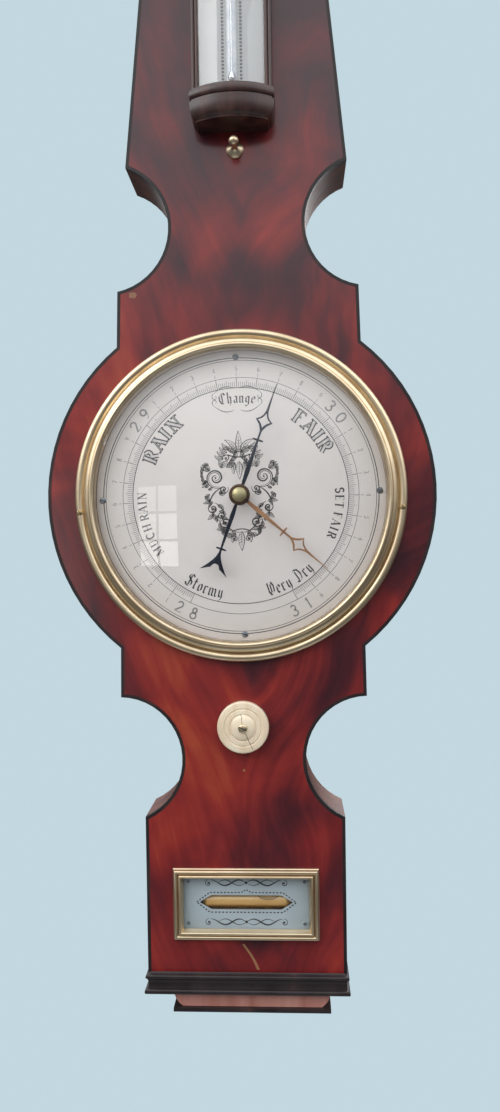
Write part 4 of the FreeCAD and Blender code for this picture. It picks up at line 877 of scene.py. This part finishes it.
def minor_marks(ink):
    """Hundredths of an inch, tenths and their figures."""
    for hundredth in range(301):
        outer, width = 76.4, 0.36
        if hundredth % 10 == 0:
            outer, width = 79.4, 0.5
        elif hundredth % 5 == 0:
            outer = 77.6
        ink.radial(FIRST_MARK + hundredth * PER_INCH / 100, 72.6, outer, width)
    for inch in range(3):
        for tenth in range(1, 10):
            degrees = FIRST_MARK + (inch + tenth / 10) * PER_INCH
            ink.radial(degrees, 80.4, 82.6, 0.35)
            roman(ink, str(tenth), 3.2, 0.3, round_text(84.0, degrees), 0.42, 0.25)


def dial_words(ink, faint, inline):
    """The inch figures, which have faded, and the weather words."""
    for inch, inwards in enumerate((True, False, False, True)):
        label, angle = str(28 + inch), FIRST_MARK + inch * PER_INCH
        radius = 88.9 if inwards else 81.2
        for digit, shift in zip(label, (-1, 1)):
            turn = angle + shift * (-3.6 if inwards else 3.6)
            roman(faint, digit, 7.6, 0.6, round_text(radius, turn, inwards), 1.1, 0.5, spread=1.25)
    for word, angle in (("RAIN", -52.5), ("FAIR", 50.5)):
        warp = round_text(61.5, angle)
        roman(ink, word, 8.6, 1.6, warp, 3.1, 1.3, 0.24, 1.15)
        roman(inline, word, 8.6, 1.6, warp, 1.5, 0.3, 0.12, 1.15)
    for word, angle in (("MUCH RAIN", -104.5), ("SET FAIR", 101.5)):
        parts = word.split()
        widths = [text_width(part, ROMAN, 5.6, 0.8) for part in parts]
        spread = (sum(widths) / 2 + 3.2) / 66.5 / 2
        for part, sign in zip(parts, (-1, 1)):
            turn = angle + sign * math.degrees(spread)
            roman(ink, part, 5.6, 0.8, round_text(63.8, turn), 1.0, 0.34)
    blackletter(ink, "Change", 7.4, 0.6, round_text(62.6, 0.0))
    blackletter(ink, "Stormy", 8.6, 0.7, round_text(70.0, -156.5, True))
    blackletter(ink, "Very Dry", 8.8, 0.6, round_text(70.2, 151.5, True))
    flourish(ink, 0.0, 65.0)


def flourish(ink, x, y):
    """Pen flourishes that close round a word."""
    for side in (1, -1):
        for lift in (1, -1):
            line = [(x + side * (2 + 13.5 * t), y + lift * (7.4 + 1.5 * math.sin(3.4 * t) - 2.6 * t * t))
                    for t in (i / 12 for i in range(13))]
            ink.ribbon(line, 0.55, end_width=0.2)
            heading = math.degrees(math.atan2(line[-1][1] - line[-2][1], line[-1][0] - line[-2][0]))
            ink.ribbon(curl(*line[-1], heading, 8.5, -side * lift * 300, 14), 0.5, end_width=0.2)


# The engraved circles of the dial: radius and width.
DIAL_RINGS = ((91.0, 0.35), (92.6, 0.6), (79.4, 0.3), (72.6, 0.5))


def make_dial():
    ink, faint, inline = Ink(), Ink(), Ink()
    minor_marks(faint)
    dial_words(ink, faint, inline)
    ornament(ink)
    for radius, width in DIAL_RINGS:
        ink.circle(radius, width)
    for name, marks, proud, material in (("dial_engraving", ink, MARK_PROUD, WAX),
                                         ("dial_scale_engraving", faint, MARK_PROUD, FADED_WAX),
                                         ("dial_letter_inlines", inline, 2 * MARK_PROUD, LETTER_SILVER)):
        finish_piece(marks.build(name, DIAL, DIAL_FACE - proud, DIAL_TURN), material, "case")


BEZEL_PROFILE = [
    (111.0, 0.0), (111.0, -1.5), *arc(108.1, -3.0, 2.9, 28, -155, 14), (105.0, -3.8), (104.6, -4.0),
    (104.5, -4.8), (104.1, -5.9), (103.4, -6.7), (102.4, -7.2), (101.5, -7.4), (101.2, -7.1),
    *arc(99.7, -7.6, 1.5, -10, -190, 12), (98.0, -6.2), (97.4, -5.4), (97.4, 0.0)]


def make_bezel():
    ring = turned("brass_bezel", BEZEL_PROFILE, DIAL, 160)
    finish_piece(ring, BRASS, "case", ["bezel"])


def screw_heads(name, centres, radius, high, turn):
    """Low domed heads facing the front, each crossed by a dark bar standing just proud of it: painted shade
    in place of a cut slot.
    """
    heads, slot_shades = [], []
    for centre in centres:
        dome = bow(0, -0.4 * high, radius, -0.6 * high, 0, 90, 6)
        heads.append(turned(name, [(0.0, 0.6), (radius, 0.6)] + dome, centre, 24))
        # Painted shade: the slot is a dark bar laid over the dome, not a groove cut into it.
        reach, half = radius * 0.92, radius * 0.14
        mark = [(-reach, -half), (reach, -half), (reach, half), (-reach, half)]
        slot_shades.append(slab(name + "_slot_shade", mark, -high - 0.04, 0.0, centre, turn))
    return join(name, heads), join(name + "_slots", slot_shades)


def make_screws():
    """The four screws of the dial and the two of the bezel."""
    quarters = [spoke(93.2, DIAL_TURN + 90 * i) for i in range(4)]
    centres = [moved(DIAL, x, DIAL_FACE, up) for x, up in quarters]
    heads, slot_shades = screw_heads("dial_screw_heads", centres, 2.2, 0.6, 20)
    finish_piece(heads, STEEL, "case", ["dial_screws"])
    finish_piece(slot_shades, WAX, "case")
    centres = [moved(DIAL, sign * 107.4, -5.5, -10) for sign in (-1, 1)]
    heads, slot_shades = screw_heads("bezel_screw_heads", centres, 1.9, 0.8, 60)
    finish_piece(heads, DULL_BRASS, "case", ["bezel_screws"])
    finish_piece(slot_shades, WAX, "case")


def make_dome():
    """The dial's domed glass, two parallel shallow arcs closed at the rim."""
    rim, rise, thick, seat = 98.6, 9.0, 2.0, -7.2
    radius = (rim ** 2 + rise ** 2) / (2 * rise)
    reach = math.degrees(math.asin(rim / radius))
    outer = arc(0, 0, radius, 90, 90 - reach, 24)
    flat = radius * math.cos(math.radians(reach))
    front = [(r, seat - (h - flat)) for r, h in outer]
    back = [(r, seat + thick - (h - flat)) for r, h in reversed(outer)]
    dome = turned("domed_glass", front + back, DIAL, 128)
    finish_piece(dome, GLASS, "case", ["dial_glass"])


# ---------------------------------------------------------------- hands

# Half outlines of the hands, (half width, distance from the centre) in mm.
BLADE = [(1.0, 6), (1.6, 16), (0.7, 36.8), (0.75, 37.3), (3.6, 37.5), (3.6, 38.5), (0.75, 38.7),
         (0.65, 40), (0.7, 44.3), (1.4, 46.0), (2.7, 48.2), (5.8, 51.2), (3.2, 53.0), (1.9, 54.8),
         (1.1, 57.0), (0.8, 58.6), (0.12, 77)]
LOZENGE = [(0.0, 46.6), (1.1, 48.4), (2.3, 49.8), (4.3, 51.2), (2.5, 52.3), (1.2, 53.8), (0.0, 56.4)]
TAIL = [(0.9, -6), (1.5, -14), (0.7, -36.6), (0.75, -37.2), (3.5, -37.4), (3.5, -38.4), (0.75, -38.6),
        (0.9, -41), (1.7, -43.6), (3.2, -46.4), (5.2, -49.4), (7.4, -52.2), (9.7, -54.8), (6.6, -53.2),
        (4.6, -52.0), (3.2, -51.6), (2.2, -49.4), (1.0, -48.4)]
STUB = [(1.0, -4.2), (0.6, -5.0)]
HUB_PROFILE = [(0.0, -5.9), (7.0, -5.9), (7.0, -6.6), *arc(6.2, -6.8, 0.8, 0, -90, 5), (5.2, -7.6),
               (0.0, -7.6)]
BUTTON_PROFILE = [(0.0, -7.6), (4.8, -7.6), (4.8, -8.1), *bow(0, -8.2, 4.6, -1.8, 0, 90, 8)]
COLLAR_PROFILE = [(1.7, -3.6), (4.6, -3.6), (4.6, -4.1), (4.3, -4.3), (1.7, -4.3)]


def blade_outline(tail):
    """Both sides of a hand, from its tail up the left side and down the right."""
    return mirrored(tail[::-1] + BLADE, -1) + BLADE[::-1] + tail


def make_hands():
    opening = LOZENGE + mirrored(LOZENGE[-2:0:-1], -1)
    hand = slab("hand_blade", blade_outline(TAIL), -6.6, -5.9, DIAL, HAND_ANGLE, 0.16, [opening])
    finish_piece(hand, BLUED, "indicator", ["indicator_hand"])
    finish_piece(turned("hand_hub", HUB_PROFILE, DIAL, 48), BRONZE, "indicator")
    button = turned("hand_button", BUTTON_PROFILE, DIAL, 48)
    finish_piece(button, BUTTON_BRASS, "indicator", ["hand_cap"])
    blade = slab("set_blade", blade_outline(STUB), -4.2, -3.6, DIAL, SET_HAND_ANGLE, 0.14, [opening])
    pointer = join("set_pointer", [blade, turned("set_hub", COLLAR_PROFILE, DIAL, 48)])
    finish_piece(pointer, COPPERY, "set_hand", ["set_hand"])


# ---------------------------------------------------------------- setting knob

KNOB_PROFILE = [
    (2.6, -1.2), (15.6, -1.2), *arc(16.0, -2.6, 1.2, 80, 0, 4), (17.2, -5.8),
    *arc(15.9, -5.9, 1.3, 0, -85, 6), (12.9, -7.4), (12.5, -7.0), (12.1, -7.0), (11.7, -7.5),
    (9.4, -7.7), (9.0, -7.3), (8.6, -7.3),
    *bow(0, -7.5, 8.3, -2.0, 0, 70, 7), (2.6, -9.4)]
KNOB_SCREW_PROFILE = [(0.0, -9.0), (3.0, -9.0), (3.0, -9.8), *bow(0, -9.8, 2.9, -0.9, 0, 90, 6)]
KNOB_SLOT_SHADE = [(-2.7, -0.35), (2.7, -0.35), (2.7, 0.35), (-2.7, 0.35)]


def make_knob():
    disc = turned("bone_knob", KNOB_PROFILE, KNOB, 96)
    finish_piece(disc, BONE, "setting_knob", ["setting_knob"])
    screw = turned("knob_screw_head", KNOB_SCREW_PROFILE, KNOB, 32)
    finish_piece(screw, BRASS, "setting_knob", ["knob_screw"])
    # Painted shade: the screw's slot is a dark bar over its dome, not a cut groove.
    slot = slab("knob_screw_slot_shade", KNOB_SLOT_SHADE, -10.75, -10.2, KNOB, 24)
    finish_piece(slot, WAX, "setting_knob")


# ---------------------------------------------------------------- spirit level

FRAME_PROFILE = [
    (0.0, 0.0), (0.0, 1.1), (0.5, 1.5), *bow(1.9, 2.6, -1.3, 1.5, 0, 180, 8), (3.4, 2.2), (3.7, 2.4),
    *bow(4.8, 3.2, -1.0, 1.3, 0, 180, 8), (6.1, 1.9), (6.8, 0.9), (6.9, 0.0)]
WINDOW_UPPER = [(-33.5, 0), (-24.6, 6.6), (-3.4, 6.6), (0, 8.6), (3.4, 6.6), (24.6, 6.6), (33.5, 0)]
WINDOW_LOWER = [(33.5, 0), (24.6, -6.6), (-24.6, -6.6), (-33.5, 0)]


def make_level():
    moulding = framed("level_moulding", FRAME_PROFILE, 48.8, 23.7, LEVEL)
    finish_piece(moulding, BRASS, "case", ["level_frame"])
    shell = bow(0, -27, 5.0, -3.0, 90, 0, 8)
    shell += [(r, -along) for r, along in reversed(shell)]
    inner = [(r * 0.86, along * 0.96) for r, along in shell]
    finish_piece(lying("level_vial_glass", shell), GLASS, "case", ["level_vial"])
    finish_piece(lying("level_spirit", inner), SPIRIT, "case")
    bubble = lying("level_bubble", bow(0, 0, 1.5, -6.5, 90, -90, 10), Vector((14.5, -3.0, 2.6)))
    finish_piece(bubble, GLASS, "case")
    # Painted shade: a dark wire drawn round the bubble's lower side, standing in for the dark rim that its
    # curved edge shows.
    edge = [moved(LEVEL, x, 4.1, up) for x, up in bow(14.5, 4.4, 6.6, -3.0, 0, 180, 16)]
    finish_piece(tube("bubble_painted_outline", edge, 0.18 * MM), WAX, "case")
    ink = Ink()
    dashes(ink, WINDOW_UPPER + WINDOW_LOWER[1:], 1.7, 0.75, 0.85)
    for lift in (13.2, -13.0):
        for side in (1, -1):
            for count, rise, width, end in ((25, 1.9, 1.1, 0.3), (20, -1.9, 0.6, 0.2)):
                wave = [(side * x, lift + rise * math.sin(x * 0.33)) for x in range(count)]
                ink.ribbon(wave, width, end_width=end)
            volute(ink, 25.5, lift - 0.4, 2.6, 100, -1.2, 0.6, side)
        ink.dot(0, lift, 1.0)
    finish_piece(ink.build("level_engraving", LEVEL, LEVEL_FACE - MARK_PROUD), WAX, "case")


def lying(name, profile, shift=Vector((0, 0, 0))):
    """Turned work (radius, along) whose axis lies level, centred on the vial."""
    verts, faces = [], []
    steps, rows = 40, len(profile)
    middle = LEVEL + (Vector((0, 8.4, 0)) + shift) * MM
    for i in range(steps):
        a = 2 * math.pi * i / steps
        for radius, along in profile:
            verts.append(middle + Vector((along, radius * math.cos(a), radius * math.sin(a))) * MM)
    for i in range(steps):
        for j in range(rows - 1):
            k = (i + 1) % steps
            faces.append((i * rows + j, k * rows + j, k * rows + j + 1, i * rows + j + 1))
    return add_mesh(name, verts, faces, 50)


def dashes(ink, corners, length, gap, width):
    """A broken line along straight runs."""
    for (ax, ay), (bx, by) in zip(corners, corners[1:]):
        run = math.hypot(bx - ax, by - ay)
        count = max(1, round(run / (length + gap)))
        for i in range(count):
            ends = [(i + share) / count for share in (0.1, 0.1 + 0.8 * length / (length + gap))]
            ink.ribbon([(ax + (bx - ax) * t, ay + (by - ay) * t) for t in ends], width)


# ---------------------------------------------------------------- thermometer

def bow_path(half, proud, rise, steps=16):
    """The plan of a bow-fronted block, from its right back corner round to its left."""
    radius = (half ** 2 + rise ** 2) / (2 * rise)
    reach = math.degrees(math.asin(half / radius))
    front = bow(0, radius - proud, radius, -radius, 90 - reach, 90 + reach, steps)
    return [(half, 0.0), *front, (-half, 0.0)]


# The foot's moulding as (out, up) points, a bead over an ovolo, and the rails' reeded section.
OVOLO = [(0.0, 0.0), (0.2, 0.8), *bow(0, 10.6, 4.2, -9.4, 90, 0, 10)[1:], (4.3, 12.2), (3.0, 12.9),
         (3.0, 14.2), *bow(3.0, 17.3, 1.5, -3.1, 90, -90, 8)[1:], (3.0, 21.0)]
REEDS = [(26.5, -6.0), (26.5, -13.6), *bow(25.3, -13.7, 1.15, -1.3, 0, 180, 8),
         *bow(22.9, -13.7, 1.15, -1.3, 0, 180, 8), (21.7, -13.4), (21.7, -6.0)]


def make_thermometer():
    path = bow_path(23.5, 21.0, 6.5)
    tall = (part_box("thermo_cap")[1][2] - THERMO.z) / MM
    crown = [(out, tall - up) for out, up in reversed(OVOLO)]
    for end, profile in (("foot", OVOLO), ("cap", crown)):
        block = wrapped("thermometer_" + end, path, profile, THERMO, 28)
        finish_piece(block, STAINED, "thermometer", ["thermo_" + end])
    low, high = ((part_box("thermo_rails")[end][2] - THERMO.z) / MM for end in (0, 1))
    for sign, side in ((1, "right"), (-1, "left")):
        rail = prism("thermometer_rail_" + side, mirrored(REEDS, sign), low, high, THERMO, 32)
        finish_piece(rail, STAINED, "thermometer", ["thermo_rails"])
    front = bow_path(21.6, 21.0, 6.5, 24)[1:-1]
    pane = prism("bowed_glass", front + [(x, y + 1.6) for x, y in reversed(front)], low, high, THERMO)
    finish_piece(pane, GLASS, "thermometer", ["thermo_glass"])
    make_stem()
    make_graduations(high)


def make_stem():
    """The thermometer's own tube, its white enamel back and its thread."""
    axis = moved(THERMO, 0, -10.6, 0)
    ends = bow(0, 3.2, 3.2, -3.2, 90, 0, 8)
    outline = [(r, 24 + h) for r, h in ends] + [(r, 216 - h) for r, h in reversed(ends)]
    stem = turned("thermometer_stem", outline, axis, 32, "Z")
    finish_piece(stem, GLASS, "thermometer", ["thermo_tube"])
    enamel = prism("thermometer_enamel", bow(0, 1.2, 1.9, 0.9, 0, 180, 8), 26, 214, axis)
    finish_piece(enamel, WHITE_ENAMEL, "thermometer")
    thread = bow(0, 30.5, 1.7, -3.5, 90, 0, 5) + [(0.45, 35.5), (0.45, 128.0), (0.0, 128.6)]
    finish_piece(turned("thermometer_thread", thread, axis, 20, "Z"), MERCURY, "thermometer")


def make_graduations(high):
    """Broken lines beside the tube, and degrees with a figure at every twentieth."""
    ink = Ink()
    pitch, first = 2.4, 23.5
    zero_up, per_degree = 126, 0.78
    for side in (1, -1):
        for i in range(int((high - 26) / pitch)):
            up = first + pitch * i
            ink.ribbon([(side * 6.0, up), (side * 6.0, up + 1.5)], 1.7)
        for degree in range(20, 121, 2):
            up = zero_up + degree * per_degree
            reach = 5.0 if degree % 10 == 0 else 2.6
            ink.ribbon([(side * 7.6, up), (side * (7.6 + reach), up)], 0.22)
            if degree % 20 == 0:
                def flat(x, y, side=side, up=up):
                    return x + side * 16.6, y + up - 1.3
                roman(ink, str(degree), 2.8, 0.3, flat, 0.4, 0.24)
    marks = ink.build("thermometer_engraving", THERMO, SCALE_FACE - MARK_PROUD)
    finish_piece(marks, WAX, "thermometer")


# ---------------------------------------------------------------- siphon


def stretched_tube(name, points, radius, material, nodes):
    """A wire or column along points in metres, in one material, standing in for the CAD
    nodes that it hides."""
    obj = tube(name, points, radius)
    obj.data.materials.clear()
    obj.data.materials.append(material)
    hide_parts(*nodes)
    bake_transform(obj)


def make_siphon_filling():
    """The silk thread over the pulley and down to the float and its counterweight, and the
    mercury in the siphon's two limbs."""
    depth = mid("float", 1)
    for body in ("float", "counterweight"):
        x, top = mid(body, 0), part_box(body)[1][2]
        points = [Vector((x, depth, DIAL.z + (top - DIAL.z) * i / 10)) for i in range(11)]
        stretched_tube("silk_to_" + body, points, 0.3 * MM, CORD, ["silk_thread"])
    ring = mid("float", 0)
    over = [Vector((x, depth, z)) for x, z in arc(DIAL.x, DIAL.z, ring, 0, 180, 16)]
    finish_piece(tube("silk_over_pulley", over, 0.3 * MM), CORD, "case", ["silk_thread"])
    low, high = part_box("mercury_short_column")
    radius = (high[0] - low[0]) / 2
    points = [Vector((ring, depth, low[2] + (high[2] - low[2]) * i / 8)) for i in range(9)]
    stretched_tube("mercury_short_limb", points, radius, MERCURY,
                   ["mercury_short_column"])
    limb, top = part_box("mercury_column")[1][0] - radius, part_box("mercury_column")[1][2]
    bend = (limb - ring) / 2
    points = [Vector((x, depth, z)) for x, z in arc(ring + bend, low[2], -bend, 0, 180, 12)]
    points += [Vector((limb, depth, low[2] + (top - low[2]) * i / 40)) for i in range(1, 41)]
    stretched_tube("mercury_long_limb", points, radius, MERCURY,
                   ["mercury_column"])


# ---------------------------------------------------------------- case trim

CATCH_PROFILE = [
    (0.0, 0.0), (6.0, 0.0), (6.0, -0.6), (5.7, -1.3), (4.6, -2.4), (3.0, -3.4), (2.2, -4.2), (1.7, -5.4),
    (1.7, -8.2), (2.2, -8.9), (2.2, -9.4), *arc(0.0, -12.6, 3.4, 50, -90, 12)]
URN_PROFILE = [
    (0.0, 0.0), (9.0, 0.0), (9.0, 1.4), (8.4, 2.4), (6.0, 3.2), (4.5, 4.6), (4.4, 6.6), (5.4, 8.4),
    (7.6, 10.4), (8.9, 13.0), (8.4, 15.6), (6.4, 18.0), (4.0, 19.6), (3.2, 20.2), (4.0, 20.8), (4.0, 21.8),
    (3.0, 22.4), (2.9, 23.6), (2.2, 26.4), (1.3, 29.2), (0.7, 30.7), (0.0, 31.0)]
REEDED = [
    (-1.0, 0.0), (1.6, 0.0), *bow(1.4, 1.6, 1.1, -1.6, 90, -90, 8)[1:], (0.5, 3.6), (0.1, 5.4), (0.1, 7.6),
    (0.7, 9.4), (1.0, 9.8), *bow(0.9, 11.2, 1.0, -1.3, 90, -90, 8)[1:], (0.0, 12.9)]
OGEE = [
    (-2.0, 0.0), (0.8, 0.0), (1.4, 1.2), *bow(3.6, 2.0, -2.2, 4.6, 0, 90, 8),
    *bow(3.6, 11.2, 1.8, -4.4, 90, 0, 8)[1:], (5.9, 11.6)]


def case_moulding(name, node, profile, top, inset):
    """A moulding round the case's front and sides, as tall as its CAD node.  The points of
    top are measured down from there, and the path runs inside the node by the inset."""
    low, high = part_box(node)
    half, front, tall = high[0] / MM - inset, low[1] / MM + inset, (high[2] - low[2]) / MM
    path = [(half, 0.0), (half, front), (-half, front), (-half, 0.0)]
    closed = profile + [(out, tall - down) for out, down in top]
    piece = wrapped(name, path, closed, Vector((0, 0, low[2])), 40, True)
    finish_piece(piece, EBONISED, "case", [node])


def make_trim():
    """Mouldings at the base and the cornice, the brass catch and the finial."""
    case_moulding("reeded_base_moulding", "base_moulding", REEDED, [(-0.8, 0.0)], 2.6)
    case_moulding("cornice_ogee", "cornice_moulding", OGEE, [(5.9, 1.2), (5.0, 0.0), (-2.0, 0.0)], 6)
    catch = turned("catch_turned_knob", CATCH_PROFILE, CATCH, 48)
    finish_piece(catch, BRASS, "catch_knob", ["catch_knob"])
    seat = Vector((0, mid("finial", 1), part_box("finial")[0][2]))
    finish_piece(turned("turned_finial", URN_PROFILE, seat, 48, "Z", 50), BRASS, "case", ["finial"])


make_dial()
make_bezel()
make_screws()
make_dome()
make_hands()
make_knob()
make_level()
make_thermometer()
make_siphon_filling()
make_trim()


# ---------------------------------------------------------------- light, floor and camera

def area_light(name, place, target, power, width, height, colour):
    lamp = bpy.data.lights.new(name, "AREA")
    lamp.shape = "RECTANGLE"
    lamp.size, lamp.size_y = width, height
    lamp.energy = power
    lamp.color = colour
    obj = linked(name, lamp)
    obj.location = place
    obj.rotation_euler = (Vector(target) - Vector(place)).to_track_quat("-Z", "Y").to_euler()


def make_world():
    """Pale blue to the eye, as the painted wall is; the light itself is neutral and comes
    mostly from above."""
    world = bpy.data.worlds.new("soft_room")
    bpy.context.scene.world = world
    world.use_nodes = True
    tree = world.node_tree
    tree.nodes.clear()
    add, link = tree.nodes.new, tree.links.new
    split = add("ShaderNodeSeparateXYZ")
    link(add("ShaderNodeTexCoord").outputs["Generated"], split.inputs[0])
    climb = add("ShaderNodeMapRange")
    climb.interpolation_type = "SMOOTHSTEP"
    for socket, amount in (("From Min", 0.05), ("From Max", 0.5), ("To Min", 0.12), ("To Max", 1.75)):
        climb.inputs[socket].default_value = amount
    link(split.outputs["Z"], climb.inputs["Value"])
    room, wall = add("ShaderNodeBackground"), add("ShaderNodeBackground")
    room.inputs["Color"].default_value = (0.93, 0.97, 1.0, 1.0)
    wall.inputs["Color"].default_value = (0.546, 0.680, 0.745, 1.0)
    link(climb.outputs["Result"], room.inputs["Strength"])
    choose, output = add("ShaderNodeMixShader"), add("ShaderNodeOutputWorld")
    link(add("ShaderNodeLightPath").outputs["Is Camera Ray"], choose.inputs[0])
    link(room.outputs[0], choose.inputs[1])
    link(wall.outputs[0], choose.inputs[2])
    link(choose.outputs[0], output.inputs["Surface"])


def make_floor():
    pale = mottled("pale_floor", (0.26, 0.28, 0.29), (0.31, 0.33, 0.34), 6.0, 0.8)
    sides = 64
    points = [(x, y, -1.65) for x, y in arc(0, 0, 0.9, 0, 360, sides)[:-1]]
    floor = add_mesh("pale_floor", points, [tuple(range(sides))])
    floor.data.materials.append(pale)


LENS, YAW, PITCH, ROLL = 27.03, 3.01, 0.297, 0.858
CAMERA_AWAY = (35.4, -558.1, -43.6)


def make_camera():
    """Level with the dial, a little to its right and close to the case."""
    data = bpy.data.cameras.new("camera")
    data.sensor_width = 36.0
    data.lens = LENS
    camera = linked("camera", data)
    look = Matrix.Identity(4)
    for degrees, axis in ((YAW, "Z"), (PITCH, "X"), (ROLL, "Y"), (90, "X")):
        look = look @ Matrix.Rotation(math.radians(degrees), 4, axis)
    camera.matrix_world = Matrix.Translation(moved(DIAL, *CAMERA_AWAY)) @ look
    bpy.context.scene.camera = camera


make_world()
make_floor()
make_camera()
# Six soft panes of a window, whose reflection shows in the dial's glass, and three large lamps.
for column in (-1, 1):
    for row in (-1, 0, 1):
        x, z = -0.75 + 0.085 * column, -0.67 + 0.21 * row
        power = 0.14 + 0.07 * (1 - row)
        area_light("window_pane", (x, -1.9, z), (x, 0.0, z), power, 0.15, 0.19, (1.0, 0.99, 0.97))
for name, place, aim, power, width, height, colour in (
        ("sky", (-1.6, -1.4, 0.7), -0.6, 20, 1.4, 1.4, (1.0, 0.99, 0.98)),
        ("room_fill", (1.5, -1.2, 0.3), -0.55, 5, 1.4, 1.2, (0.97, 0.98, 1.0)),
        ("back_fill", (0.4, 2.0, 0.4), -0.6, 16, 1.8, 1.8, (1.0, 1.0, 1.0))):
    area_light(name, place, (0, 0, aim), power, width, height, colour)
bpy.context.scene.view_settings.view_transform = "Standard"
